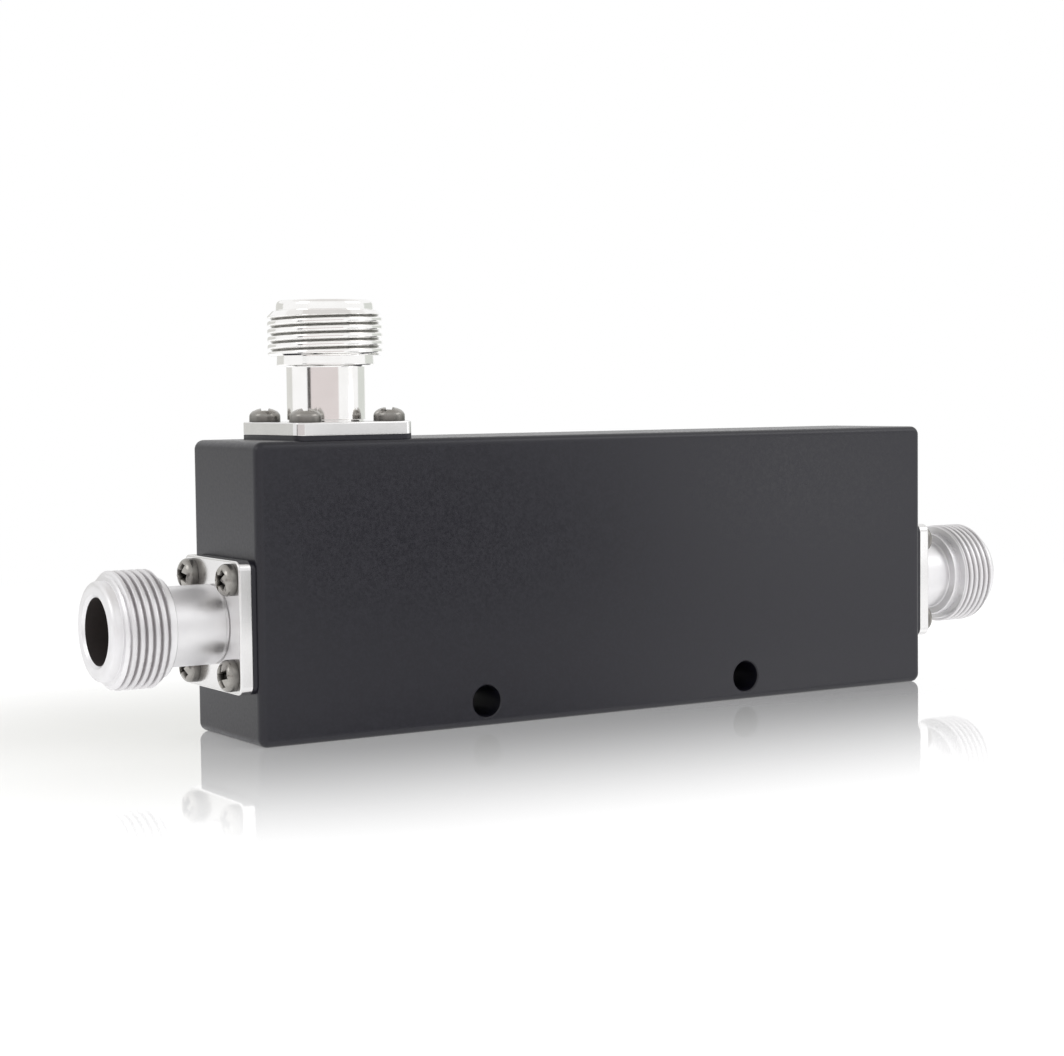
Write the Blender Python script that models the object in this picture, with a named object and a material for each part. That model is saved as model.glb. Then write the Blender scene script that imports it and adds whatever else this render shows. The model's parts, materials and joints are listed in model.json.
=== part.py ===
"""Cavity directional coupler with three threaded coaxial sockets on four-hole flanges.

The housing stands on its long narrow bottom face. X runs along the main line from the input socket to the
output socket, Y runs from the front face to the back, and Z points up. The origin is the middle of the bottom
face. All sizes are in metres.
"""

import math

import bmesh
import bpy
from mathutils import Matrix, Vector

# Clearances
SEAT_GAP = 0.0003
BORE_CLEARANCE = 0.0003
POCKET_CLEARANCE = 0.0003
HOLE_END_CLEARANCE = 0.0003

# Housing
HOUSING_LENGTH = 0.115
HOUSING_HEIGHT = 0.0405
HOUSING_CORNER_RADIUS = 0.0013
HOUSING_EDGE_RADIUS = 0.0009
FRONT_WALL = 0.003
CAVITY_CORNER_RADIUS = 0.003
PAD_HEIGHT = 0.0003

# Mounting holes through the bottom rail
MOUNT_HOLE_DIAMETER = 0.0045
MOUNT_HOLE_SPACING = 0.0454
MOUNT_HOLE_HEIGHT = 0.0035

# Rear cover
COVER_THICKNESS = 0.002
COVER_SIDE_RIM = 0.0015
COVER_BOTTOM_RIM = 0.0065
COVER_CORNER_RADIUS = 0.0025
COVER_EDGE_BREAK = 0.0002

# Countersunk cover screws, and the metal left outside and inside them
COVER_SCREW_DIAMETER = 0.002
COVER_SCREW_HEAD_DIAMETER = 0.0038
COVER_SCREW_HEAD_LAND = 0.0002
COVER_SCREW_LENGTH = 0.005
COVER_SCREW_SINK = 0.0001
COVER_SCREW_SPOKE_LENGTH = 0.0022
COVER_SCREW_SPOKE_WIDTH = 0.0005
COVER_SCREW_EDGE_LAND = 0.0007
COVER_SCREW_INNER_WALL = 0.001
COVER_SCREWS_PER_ROW = 4

# Where the sockets sit on the housing
FLANGE_FRONT_INSET = 0.0007
FLANGE_BACK_INSET = 0.002
MAIN_AXIS_OVER_RAIL = 0.004
COUPLED_SOCKET_INSET = 0.0153

# Socket shell, from the back of the flange outward
FLANGE_THICKNESS = 0.0018
FLANGE_CORNER_RADIUS = 0.0013
FLANGE_HOLE_SPACING = 0.0127
FLANGE_HOLE_INSET = 0.00255
NECK_DIAMETER = 0.0108
NECK_END = 0.00945
COLLAR_DIAMETER = 0.0134
COLLAR_LENGTH = 0.00135
THREAD_DIAMETER = 0.0158
THREAD_PITCH = 0.001058
THREAD_DEPTH = 0.00055
THREAD_TURNS = 5
THREAD_END_CHAMFER = 0.0004
NOSE_DIAMETER = 0.0134
NOSE_LENGTH = 0.0015
NOSE_EDGE_RADIUS = 0.0007
SOCKET_BORE_DIAMETER = 0.009
SHOULDER_OVER_NECK = 0.0003
SOCKET_MOUTH_CHAMFER = 0.0004

# Insulator and centre contact
INSULATOR_DIAMETER = 0.007
INSULATOR_STEP = 0.0003
INSULATOR_PROTRUSION = 0.0005
CONTACT_DIAMETER = 0.003
CONTACT_TIP_DEPTH = 0.0046
CONTACT_TIP_CHAMFER = 0.0003
CONTACT_BORE_DIAMETER = 0.0017
CONTACT_SLOT_WIDTH = 0.0004
CONTACT_SLOT_DEPTH = 0.0035
CONTACT_BORE_PAST_SLOTS = 0.0007
CONTACT_PIN_DIAMETER = 0.0016
CONTACT_PIN_ENGAGEMENT = 0.0035

# Pan-head flange screws
FLANGE_SCREW_DIAMETER = 0.0025
FLANGE_SCREW_HEAD_DIAMETER = 0.0043
FLANGE_SCREW_HEAD_HEIGHT = 0.0019
FLANGE_SCREW_LENGTH = 0.005
FLANGE_SCREW_SPOKE_LENGTH = 0.0026
FLANGE_SCREW_SPOKE_WIDTH = 0.0007

# Main line
LINE_END_GAP = 0.0015
MAIN_LINE_DIAMETER = 0.005
MAIN_LINE_NECK_DIAMETER = 0.004
MAIN_LINE_NECK_LENGTH = 0.006

# Coupled line
COUPLED_LINE_WIDTH = 0.004
COUPLED_LINE_THICKNESS = 0.0015
COUPLED_POST_WIDTH = 0.004
COUPLING_GAP = 0.003
COUPLED_LINE_BEND_RADIUS = 0.002

# Line supports
SUPPORT_COUNT = 3
SUPPORT_THICKNESS = 0.004
SUPPORT_LIP = 0.0015

# Load at the end of the coupled line
LOAD_END_INSET = 0.0125
LOAD_BASE_EDGE = 0.0006
LOAD_ELEMENT_WIDTH = 0.005
LOAD_ELEMENT_THICKNESS = 0.0015
LOAD_TAB_WIDTH = 0.002
LOAD_TAB_THICKNESS = 0.0003
LOAD_TAB_LENGTH = 0.011
LOAD_TAB_LAP = 0.0025
LOAD_SCREW_DIAMETER = 0.002
LOAD_SCREW_HEAD_DIAMETER = 0.0035
LOAD_SCREW_HEAD_HEIGHT = 0.0012
LOAD_SCREW_LENGTH = 0.0036
LOAD_SCREW_GAP = 0.00045
LOAD_SCREW_SPOKE_LENGTH = 0.002
LOAD_SCREW_SPOKE_WIDTH = 0.0005

# Form of the screw heads and their recesses
HEAD_SIDE_SHARE = 0.35
RECESS_FLOOR_SHARE = 0.4

# Facets
TURNED_FACETS = 28
BEAD_FACETS = 24
ROD_FACETS = 16
SCREW_FACETS = 14
HIDDEN_HOLE_FACETS = 10
CORNER_FACETS = 3
EDGE_FACETS = 3
HEAD_RINGS = 2
COUPLING_STEPS = 10
SHARP_ANGLE = math.radians(35.0)

# Overlap that cutters and joined shapes have past a face
CUT_MARGIN = 0.001
WELD_DISTANCE = 1e-7

# Places that follow from the sizes
FLANGE_WIDTH = FLANGE_HOLE_SPACING + 2 * FLANGE_HOLE_INSET
HOUSING_DEPTH = FLANGE_FRONT_INSET + FLANGE_WIDTH + FLANGE_BACK_INSET
COVER_SCREW_INSET = COVER_SCREW_HEAD_DIAMETER / 2 + BORE_CLEARANCE + COVER_SCREW_EDGE_LAND + POCKET_CLEARANCE
LEDGE_WIDTH = COVER_SCREW_INSET + COVER_SCREW_DIAMETER / 2 + BORE_CLEARANCE + COVER_SCREW_INNER_WALL
SOCKET_WALL = COVER_SIDE_RIM + LEDGE_WIDTH
BOTTOM_RAIL = COVER_BOTTOM_RIM + LEDGE_WIDTH
LEFT = -HOUSING_LENGTH / 2
RIGHT = HOUSING_LENGTH / 2
FRONT = -HOUSING_DEPTH / 2
BACK = HOUSING_DEPTH / 2
SOCKET_AXIS_Y = FRONT + FLANGE_FRONT_INSET + FLANGE_WIDTH / 2
MAIN_AXIS_HEIGHT = BOTTOM_RAIL + MAIN_AXIS_OVER_RAIL
COUPLED_SOCKET_X = LEFT + COUPLED_SOCKET_INSET
FLANGE_STANDOFF = PAD_HEIGHT + SEAT_GAP
CAVITY_FRONT = FRONT + FRONT_WALL
COVER_INNER = BACK - COVER_THICKNESS
LEDGE = COVER_INNER - SEAT_GAP
CAVITY_TOP = HOUSING_HEIGHT - SOCKET_WALL
MAIN_LINE_TOP = MAIN_AXIS_HEIGHT + MAIN_LINE_DIAMETER / 2
LOAD_HEIGHT = (MAIN_LINE_TOP + CAVITY_TOP) / 2
COUPLING_GAP_AT_LOAD = LOAD_HEIGHT - COUPLED_LINE_THICKNESS / 2 - MAIN_LINE_TOP
COLLAR_END = NECK_END + COLLAR_LENGTH
THREAD_END = COLLAR_END + THREAD_TURNS * THREAD_PITCH + 2 * THREAD_END_CHAMFER
NOSE_END = THREAD_END + NOSE_LENGTH
BORE_FLOOR = NECK_END + SHOULDER_OVER_NECK
WALL_INSIDE = -FLANGE_STANDOFF - SOCKET_WALL
LINE_END = WALL_INSIDE - LINE_END_GAP
INSULATOR_BACK = WALL_INSIDE - INSULATOR_PROTRUSION
MAIN_LINE_END = RIGHT + FLANGE_STANDOFF + LINE_END
COUPLED_POST_TOP = HOUSING_HEIGHT + FLANGE_STANDOFF + LINE_END
LOAD_X = RIGHT - SOCKET_WALL - LOAD_END_INSET
COUPLED_LINE_FAR_END = LOAD_X + LOAD_ELEMENT_WIDTH / 2 - LOAD_TAB_LENGTH + LOAD_TAB_LAP

# Faces of the load, from the front of the coupled line down to the front wall
LOAD_TAB_BACK = SOCKET_AXIS_Y - COUPLED_LINE_WIDTH / 2 - SEAT_GAP
LOAD_TAB_FRONT = LOAD_TAB_BACK - LOAD_TAB_THICKNESS
LOAD_ELEMENT_BACK = LOAD_TAB_FRONT - SEAT_GAP
LOAD_ELEMENT_FRONT = LOAD_ELEMENT_BACK - LOAD_ELEMENT_THICKNESS
LOAD_BASE_BACK = LOAD_ELEMENT_FRONT - SEAT_GAP
LOAD_BASE_FRONT = CAVITY_FRONT + SEAT_GAP
LOAD_SCREW_SPACING = LOAD_ELEMENT_WIDTH + LOAD_SCREW_HEAD_DIAMETER + 2 * LOAD_SCREW_GAP
LOAD_BASE_LENGTH = LOAD_SCREW_SPACING + LOAD_SCREW_HEAD_DIAMETER + 2 * LOAD_BASE_EDGE
LOAD_BASE_WIDTH = LOAD_ELEMENT_WIDTH + 2 * LOAD_BASE_EDGE


def clear_scene() -> None:
    """Remove every object that the file opens with."""
    for thing in list(bpy.data.objects):
        bpy.data.objects.remove(thing, do_unlink=True)


def finish(
    name: str, color: tuple[float, float, float], metallic: float, roughness: float
) -> bpy.types.Material:
    """Make a plain surface finish.

    Args:
        name: Name of the finish.
        color: Linear red, green and blue.
        metallic: 1 for bare metal, 0 for anything else.
        roughness: 0 for a mirror, 1 for chalk.

    Returns:
        The material.
    """
    material = bpy.data.materials.new(name)
    material.use_nodes = True
    shader = material.node_tree.nodes["Principled BSDF"]
    shader.inputs["Base Color"].default_value = (*color, 1.0)
    shader.inputs["Metallic"].default_value = metallic
    shader.inputs["Roughness"].default_value = roughness
    material.diffuse_color = (*color, 1.0)
    return material


def make_finishes() -> dict[str, bpy.types.Material]:
    """Make the finish of each kind of piece."""
    return {
        "black_coat": finish("black_coat", (0.035, 0.034, 0.038), 0.0, 0.45),
        "silver_plate": finish("silver_plate", (0.78, 0.77, 0.74), 1.0, 0.22),
        "nickel_plate": finish("nickel_plate", (0.45, 0.43, 0.40), 1.0, 0.25),
        "gold_plate": finish("gold_plate", (0.90, 0.62, 0.22), 1.0, 0.25),
        "white_bead": finish("white_bead", (0.85, 0.85, 0.83), 0.0, 0.5),
        "load_ceramic": finish("load_ceramic", (0.70, 0.70, 0.66), 0.0, 0.4),
        "line_silver": finish("line_silver", (0.72, 0.71, 0.68), 1.0, 0.35),
    }


def along_y(u: float, v: float, w: float) -> Vector:
    """Place an outline upright, so that it is extruded from front to back."""
    return Vector((u, w, v))


def along_z(u: float, v: float, w: float) -> Vector:
    """Place an outline flat, so that it is extruded upward."""
    return Vector((u, v, w))


def rounded_outline(
    left: float, right: float, low: float, high: float, radius: float
) -> list[tuple[float, float]]:
    """List the points of a rectangle with round corners, in order round its edge.

    Args:
        left: Lowest first coordinate.
        right: Highest first coordinate.
        low: Lowest second coordinate.
        high: Highest second coordinate.
        radius: Corner radius.

    Returns:
        The points.
    """
    centres = (
        (right - radius, high - radius),
        (left + radius, high - radius),
        (left + radius, low + radius),
        (right - radius, low + radius),
    )
    points = []
    for quarter, (u, v) in enumerate(centres):
        for step in range(CORNER_FACETS + 1):
            angle = math.pi / 2 * (quarter + step / CORNER_FACETS)
            points.append((u + radius * math.cos(angle), v + radius * math.sin(angle)))
    return points


def prism(outline: list[tuple[float, float]], near: float, far: float, place=along_y) -> bmesh.types.BMesh:
    """Extrude an outline into a closed solid.

    Args:
        outline: Points in order round the edge.
        near: Where the extrusion starts.
        far: Where it ends.
        place: Turns an outline point and a distance into a place.

    Returns:
        The solid.
    """
    shape = bmesh.new()
    face = shape.faces.new([shape.verts.new(place(u, v, near)) for u, v in outline])
    swept = bmesh.ops.extrude_face_region(shape, geom=[face])
    moved = [item for item in swept["geom"] if isinstance(item, bmesh.types.BMVert)]
    bmesh.ops.translate(shape, verts=moved, vec=place(0.0, 0.0, far - near))
    bmesh.ops.recalc_face_normals(shape, faces=shape.faces)
    return shape


def turned(profile: list[tuple[float, float]], facets: int = TURNED_FACETS) -> bmesh.types.BMesh:
    """Turn a profile round the Z axis into a closed solid.

    Args:
        profile: Radius and height of each point, with the first and the last on the axis.
        facets: Flat faces round the axis.

    Returns:
        The solid.
    """
    shape = bmesh.new()
    points = [shape.verts.new((radius, 0.0, height)) for radius, height in profile]
    edges = [shape.edges.new(pair) for pair in zip(points, points[1:])]
    bmesh.ops.spin(
        shape,
        geom=points + edges,
        cent=(0.0, 0.0, 0.0),
        axis=(0.0, 0.0, 1.0),
        steps=facets,
        angle=math.tau,
        use_merge=True,
    )
    bmesh.ops.remove_doubles(shape, verts=shape.verts, dist=WELD_DISTANCE)
    bmesh.ops.recalc_face_normals(shape, faces=shape.faces)
    return shape


def add_drill(shape: bmesh.types.BMesh, start: Vector, end: Vector, diameter: float, facets: int) -> None:
    """Add a round bar to a shape, to cut a hole with.

    Args:
        shape: Shape that gets the bar.
        start: Middle of one end.
        end: Middle of the other end.
        diameter: Diameter of the hole.
        facets: Flat faces round the hole.
    """
    run = end - start
    turn = run.to_track_quat("Z", "Y").to_matrix().to_4x4()
    bmesh.ops.create_cone(
        shape,
        cap_ends=True,
        segments=facets,
        radius1=diameter / 2,
        radius2=diameter / 2,
        depth=run.length,
        matrix=Matrix.Translation((start + end) / 2) @ turn,
    )


def helper(shape: bmesh.types.BMesh) -> bpy.types.Object:
    """Put a shape into the scene as a guide that isn't part of the product."""
    mesh = bpy.data.meshes.new("guide")
    shape.to_mesh(mesh)
    shape.free()
    guide = bpy.data.objects.new("guide", mesh)
    guide.hide_render = True
    guide.display_type = "WIRE"
    bpy.context.scene.collection.objects.link(guide)
    return guide


def combined(base: bmesh.types.BMesh, steps: list[tuple[str, bmesh.types.BMesh]]) -> bpy.types.Mesh:
    """Join shapes to a base shape and cut shapes from it, in order.

    Args:
        base: Shape to start from.
        steps: The Boolean operation and the shape for each step.

    Returns:
        The mesh that results.
    """
    body = helper(base)
    tools = [(operation, helper(shape)) for operation, shape in steps]
    for operation, tool in tools:
        modifier = body.modifiers.new(operation.lower(), "BOOLEAN")
        modifier.operation = operation
        modifier.object = tool
    bpy.context.view_layer.update()
    evaluated = body.evaluated_get(bpy.context.evaluated_depsgraph_get())
    mesh = bpy.data.meshes.new_from_object(evaluated)
    for thing in [body] + [tool for _, tool in tools]:
        bpy.data.objects.remove(thing, do_unlink=True)
    return mesh


def plain_mesh(shape: bmesh.types.BMesh) -> bpy.types.Mesh:
    """Turn a shape that needs no cuts into a mesh."""
    mesh = bpy.data.meshes.new("shape")
    shape.to_mesh(mesh)
    shape.free()
    return mesh


def add_part(name: str, mesh: bpy.types.Mesh, material: bpy.types.Material, carrier=None) -> bpy.types.Object:
    """Put a piece of the product into the scene.

    Args:
        name: Name of the piece.
        mesh: Its shape, which copies may share.
        material: Its finish.
        carrier: Empty that it hangs on, if any.

    Returns:
        The piece.
    """
    if not mesh.materials:
        mesh.name = name
        mesh.materials.append(material)
        mesh.shade_smooth()
        mesh.set_sharp_from_angle(angle=SHARP_ANGLE)
    part = bpy.data.objects.new(name, mesh)
    part.parent = carrier
    bpy.context.scene.collection.objects.link(part)
    return part


def add_port(name: str, place: Vector, outward: Vector) -> bpy.types.Object:
    """Add the empty that a socket hangs on, at the back of its flange with Z pointing out of the housing."""
    port = bpy.data.objects.new(name, None)
    port.matrix_world = Matrix.Translation(place) @ outward.to_track_quat("Z", "Y").to_matrix().to_4x4()
    bpy.context.scene.collection.objects.link(port)
    return port


def make_ports() -> dict[str, bpy.types.Object]:
    """Place the three sockets: one at each end of the main line, one above the start of the coupled line."""
    return {
        "input": add_port(
            "input_port",
            Vector((LEFT - FLANGE_STANDOFF, SOCKET_AXIS_Y, MAIN_AXIS_HEIGHT)),
            Vector((-1.0, 0.0, 0.0)),
        ),
        "output": add_port(
            "output_port",
            Vector((RIGHT + FLANGE_STANDOFF, SOCKET_AXIS_Y, MAIN_AXIS_HEIGHT)),
            Vector((1.0, 0.0, 0.0)),
        ),
        "coupled": add_port(
            "coupled_port",
            Vector((COUPLED_SOCKET_X, SOCKET_AXIS_Y, HOUSING_HEIGHT + FLANGE_STANDOFF)),
            Vector((0.0, 0.0, 1.0)),
        ),
    }


def flange_outline() -> list[tuple[float, float]]:
    """List the points round a flange, centred on its socket."""
    half = FLANGE_WIDTH / 2
    return rounded_outline(-half, half, -half, half, FLANGE_CORNER_RADIUS)


def flange_hole_places() -> list[tuple[float, float]]:
    """List where the four holes of a flange are."""
    half = FLANGE_HOLE_SPACING / 2
    return [(across, up) for across in (-half, half) for up in (-half, half)]


def cover_screw_places() -> list[tuple[float, float]]:
    """List where the cover screws are, along X and up Z: a top row, a bottom row and one at each end."""
    low = COVER_BOTTOM_RIM + COVER_SCREW_INSET
    high = HOUSING_HEIGHT - COVER_SIDE_RIM - COVER_SCREW_INSET
    first = LEFT + COVER_SIDE_RIM + COVER_SCREW_INSET
    pitch = -2 * first / (COVER_SCREWS_PER_ROW - 1)
    columns = [first + pitch * column for column in range(COVER_SCREWS_PER_ROW)]
    places = [(x, height) for height in (high, low) for x in columns]
    return places + [(first, (low + high) / 2), (-first, (low + high) / 2)]


def load_screw_places() -> list[tuple[float, float]]:
    """List where the two load screws are, along X and up Z."""
    return [(LOAD_X + side * LOAD_SCREW_SPACING / 2, LOAD_HEIGHT) for side in (-1.0, 1.0)]


def coupling_height(x: float) -> float:
    """Give the height of the coupled line's underside, which rises along a half cosine from post to load."""
    start = COUPLED_SOCKET_X + COUPLED_POST_WIDTH / 2
    share = min(max((x - start) / (COUPLED_LINE_FAR_END - start), 0.0), 1.0)
    swell = (1.0 - math.cos(math.pi * share)) / 2
    return MAIN_LINE_TOP + COUPLING_GAP + (COUPLING_GAP_AT_LOAD - COUPLING_GAP) * swell


def housing_block() -> bmesh.types.BMesh:
    """Make the outer block, with round corners seen from the front and soft front and back edges."""
    outline = rounded_outline(LEFT, RIGHT, 0.0, HOUSING_HEIGHT, HOUSING_CORNER_RADIUS)
    block = prism(outline, FRONT, BACK)
    rims = [edge for edge in block.edges if abs(edge.verts[0].co.y - edge.verts[1].co.y) < WELD_DISTANCE]
    bmesh.ops.bevel(
        block,
        geom=rims,
        offset=HOUSING_EDGE_RADIUS,
        offset_type="OFFSET",
        segments=EDGE_FACETS,
        profile=0.5,
        affect="EDGES",
    )
    bmesh.ops.remove_doubles(block, verts=block.verts, dist=WELD_DISTANCE)
    return block


def flange_pad(port: bpy.types.Object) -> bmesh.types.BMesh:
    """Make the low pad that a flange seats on, reaching into the housing for a sound join."""
    pad = prism(flange_outline(), -FLANGE_STANDOFF - CUT_MARGIN, -SEAT_GAP, along_z)
    pad.transform(port.matrix_world)
    return pad


def port_drills(ports: dict[str, bpy.types.Object]) -> bmesh.types.BMesh:
    """Make the bars that cut a hole for the insulator through each socket's wall."""
    drills = bmesh.new()
    for port in ports.values():
        start = port.matrix_world @ Vector((0.0, 0.0, WALL_INSIDE - CUT_MARGIN))
        end = port.matrix_world @ Vector((0.0, 0.0, CUT_MARGIN))
        add_drill(drills, start, end, INSULATOR_DIAMETER + 2 * BORE_CLEARANCE, BEAD_FACETS)
    return drills


def mounting_drills() -> bmesh.types.BMesh:
    """Make the bars that cut the two mounting holes from front to back."""
    drills = bmesh.new()
    for side in (-1.0, 1.0):
        x = side * MOUNT_HOLE_SPACING / 2
        start = Vector((x, FRONT - CUT_MARGIN, MOUNT_HOLE_HEIGHT))
        end = Vector((x, BACK + CUT_MARGIN, MOUNT_HOLE_HEIGHT))
        add_drill(drills, start, end, MOUNT_HOLE_DIAMETER, BEAD_FACETS)
    return drills


def flange_screw_drills(ports: dict[str, bpy.types.Object]) -> bmesh.types.BMesh:
    """Make the bars that cut the blind holes for the flange screws."""
    drills = bmesh.new()
    tip = FLANGE_THICKNESS + SEAT_GAP - FLANGE_SCREW_LENGTH
    for port in ports.values():
        for across, up in flange_hole_places():
            start = port.matrix_world @ Vector((across, up, tip - HOLE_END_CLEARANCE))
            end = port.matrix_world @ Vector((across, up, CUT_MARGIN))
            add_drill(drills, start, end, FLANGE_SCREW_DIAMETER + 2 * BORE_CLEARANCE, HIDDEN_HOLE_FACETS)
    return drills


def cover_screw_drills() -> bmesh.types.BMesh:
    """Make the bars that cut the blind holes for the cover screws."""
    drills = bmesh.new()
    tip = BACK - COVER_SCREW_SINK - COVER_SCREW_LENGTH
    for x, height in cover_screw_places():
        start = Vector((x, tip - HOLE_END_CLEARANCE, height))
        end = Vector((x, BACK + CUT_MARGIN, height))
        add_drill(drills, start, end, COVER_SCREW_DIAMETER + 2 * BORE_CLEARANCE, HIDDEN_HOLE_FACETS)
    return drills


def load_screw_drills() -> bmesh.types.BMesh:
    """Make the bars that cut the blind holes for the load screws in the front wall."""
    drills = bmesh.new()
    tip = LOAD_BASE_BACK + SEAT_GAP - LOAD_SCREW_LENGTH
    for x, height in load_screw_places():
        start = Vector((x, tip - HOLE_END_CLEARANCE, height))
        end = Vector((x, CAVITY_FRONT + CUT_MARGIN, height))
        add_drill(drills, start, end, LOAD_SCREW_DIAMETER + 2 * BORE_CLEARANCE, HIDDEN_HOLE_FACETS)
    return drills


def add_housing(finishes: dict[str, bpy.types.Material], ports: dict[str, bpy.types.Object]) -> None:
    """Add the housing: a block with three pads, a milled cavity, a ledge for the cover and all its holes."""
    cavity = rounded_outline(
        LEFT + SOCKET_WALL, RIGHT - SOCKET_WALL, BOTTOM_RAIL, CAVITY_TOP, CAVITY_CORNER_RADIUS
    )
    ledge = rounded_outline(
        LEFT + COVER_SIDE_RIM,
        RIGHT - COVER_SIDE_RIM,
        COVER_BOTTOM_RIM,
        HOUSING_HEIGHT - COVER_SIDE_RIM,
        COVER_CORNER_RADIUS,
    )
    steps = [("UNION", flange_pad(port)) for port in ports.values()]
    steps += [
        ("DIFFERENCE", prism(cavity, CAVITY_FRONT, BACK + CUT_MARGIN)),
        ("DIFFERENCE", prism(ledge, LEDGE, BACK + CUT_MARGIN)),
        ("DIFFERENCE", port_drills(ports)),
        ("DIFFERENCE", mounting_drills()),
        ("DIFFERENCE", flange_screw_drills(ports)),
        ("DIFFERENCE", cover_screw_drills()),
        ("DIFFERENCE", load_screw_drills()),
    ]
    add_part("housing", combined(housing_block(), steps), finishes["black_coat"])


def cover_countersinks() -> bmesh.types.BMesh:
    """Make the shapes that cut a clearance hole and a countersink for each cover screw."""
    cuts = bmesh.new()
    inner = COVER_SCREW_DIAMETER / 2 + BORE_CLEARANCE
    outer = COVER_SCREW_HEAD_DIAMETER / 2 + BORE_CLEARANCE
    land = COVER_SCREW_SINK + COVER_SCREW_HEAD_LAND
    profile = [
        (0.0, CUT_MARGIN),
        (outer, CUT_MARGIN),
        (outer, -land),
        (inner, -land - (outer - inner)),
        (inner, -COVER_THICKNESS - CUT_MARGIN),
        (0.0, -COVER_THICKNESS - CUT_MARGIN),
    ]
    for x, height in cover_screw_places():
        cut = turned(profile, SCREW_FACETS)
        cut.transform(screw_place(Vector((x, BACK, height)), Vector((0.0, 1.0, 0.0))))
        mesh = plain_mesh(cut)
        cuts.from_mesh(mesh)
        bpy.data.meshes.remove(mesh)
    return cuts


def screw_place(seat: Vector, outward: Vector) -> Matrix:
    """Give the matrix that moves a screw from the origin to its seat, with its head pointing outward."""
    return Matrix.Translation(seat) @ outward.to_track_quat("Z", "Y").to_matrix().to_4x4()


def add_rear_cover(finishes: dict[str, bpy.types.Material]) -> None:
    """Add the cover plate that lies in the ledge, flush with the back of the housing."""
    outline = rounded_outline(
        LEFT + COVER_SIDE_RIM + POCKET_CLEARANCE,
        RIGHT - COVER_SIDE_RIM - POCKET_CLEARANCE,
        COVER_BOTTOM_RIM + POCKET_CLEARANCE,
        HOUSING_HEIGHT - COVER_SIDE_RIM - POCKET_CLEARANCE,
        COVER_CORNER_RADIUS - POCKET_CLEARANCE,
    )
    plate = prism(outline, COVER_INNER, BACK)
    rim = [edge for edge in plate.edges if all(abs(vert.co.y - BACK) < WELD_DISTANCE for vert in edge.verts)]
    bmesh.ops.bevel(
        plate,
        geom=rim,
        offset=COVER_EDGE_BREAK,
        offset_type="OFFSET",
        segments=1,
        profile=0.5,
        affect="EDGES",
    )
    mesh = combined(plate, [("DIFFERENCE", cover_countersinks())])
    add_part("rear_cover", mesh, finishes["black_coat"])


def cross_recess(top: float, length: float, width: float, depth: float) -> bmesh.types.BMesh:
    """Make the shape that cuts a cross recess, which narrows to a point-like floor.

    Args:
        top: Height at which the recess has its full size.
        length: Length of each pair of spokes.
        width: Width of a spoke.
        depth: Depth of the recess.

    Returns:
        The shape.
    """
    spoke = length / 2
    half = width / 2
    quarter = [(spoke, -half), (spoke, half), (half, half)]
    outline = []
    for turn in range(4):
        angle = math.pi / 2 * turn
        outline += [
            (u * math.cos(angle) - v * math.sin(angle), u * math.sin(angle) + v * math.cos(angle))
            for u, v in quarter
        ]
    cross = prism(outline, top - depth, top + depth, along_z)
    floor = [vert for vert in cross.verts if vert.co.z < top]
    bmesh.ops.scale(cross, verts=floor, vec=(RECESS_FLOOR_SHARE, RECESS_FLOOR_SHARE, 1.0))
    return cross


def pan_head_screw(
    shank: float, length: float, head: float, height: float, spoke_length: float, spoke_width: float
) -> bpy.types.Mesh:
    """Make a pan-head screw with its seat at the origin and its head upward.

    The head has a short upright side under a dome that is a quarter of an ellipse.

    Args:
        shank: Diameter of the shank.
        length: Length under the head.
        head: Diameter of the head.
        height: Height of the head.
        spoke_length: Length of each pair of spokes of the cross recess.
        spoke_width: Width of a spoke.

    Returns:
        The mesh.
    """
    side = height * HEAD_SIDE_SHARE
    dome = height - side
    profile = [(0.0, height)]
    for ring in range(1, HEAD_RINGS + 1):
        angle = math.pi / 2 * ring / HEAD_RINGS
        profile.append((head / 2 * math.sin(angle), side + dome * math.cos(angle)))
    profile += [(head / 2, 0.0), (shank / 2, 0.0), (shank / 2, -length), (0.0, -length)]
    recess = cross_recess(height, spoke_length, spoke_width, dome)
    return combined(turned(profile, SCREW_FACETS), [("DIFFERENCE", recess)])


def countersunk_screw() -> bpy.types.Mesh:
    """Make a cover screw with the top of its flat head at the origin."""
    head = COVER_SCREW_HEAD_DIAMETER / 2
    shank = COVER_SCREW_DIAMETER / 2
    cone_end = -COVER_SCREW_HEAD_LAND - (head - shank)
    profile = [
        (0.0, 0.0),
        (head, 0.0),
        (head, -COVER_SCREW_HEAD_LAND),
        (shank, cone_end),
        (shank, -COVER_SCREW_LENGTH),
        (0.0, -COVER_SCREW_LENGTH),
    ]
    recess = cross_recess(0.0, COVER_SCREW_SPOKE_LENGTH, COVER_SCREW_SPOKE_WIDTH, head - shank)
    return combined(turned(profile, SCREW_FACETS), [("DIFFERENCE", recess)])


def add_cover_screws(finishes: dict[str, bpy.types.Material]) -> None:
    """Add the countersunk screws that hold the rear cover."""
    mesh = countersunk_screw()
    for number, (x, height) in enumerate(cover_screw_places(), start=1):
        screw = add_part(f"cover_screw_{number}", mesh, finishes["nickel_plate"])
        seat = Vector((x, BACK - COVER_SCREW_SINK, height))
        screw.matrix_world = screw_place(seat, Vector((0.0, 1.0, 0.0)))


def thread_profile() -> list[tuple[float, float]]:
    """List the profile of the thread, one ridge for each turn, from its outer end inward."""
    crest = THREAD_DIAMETER / 2
    root = crest - THREAD_DEPTH
    points = [(root, THREAD_END)]
    for turn in range(THREAD_TURNS):
        top = THREAD_END - THREAD_END_CHAMFER - THREAD_PITCH * turn
        if turn:
            points.append((root, top))
        points.append((crest, top - THREAD_PITCH / 2))
    points.append((root, COLLAR_END))
    return points


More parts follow.
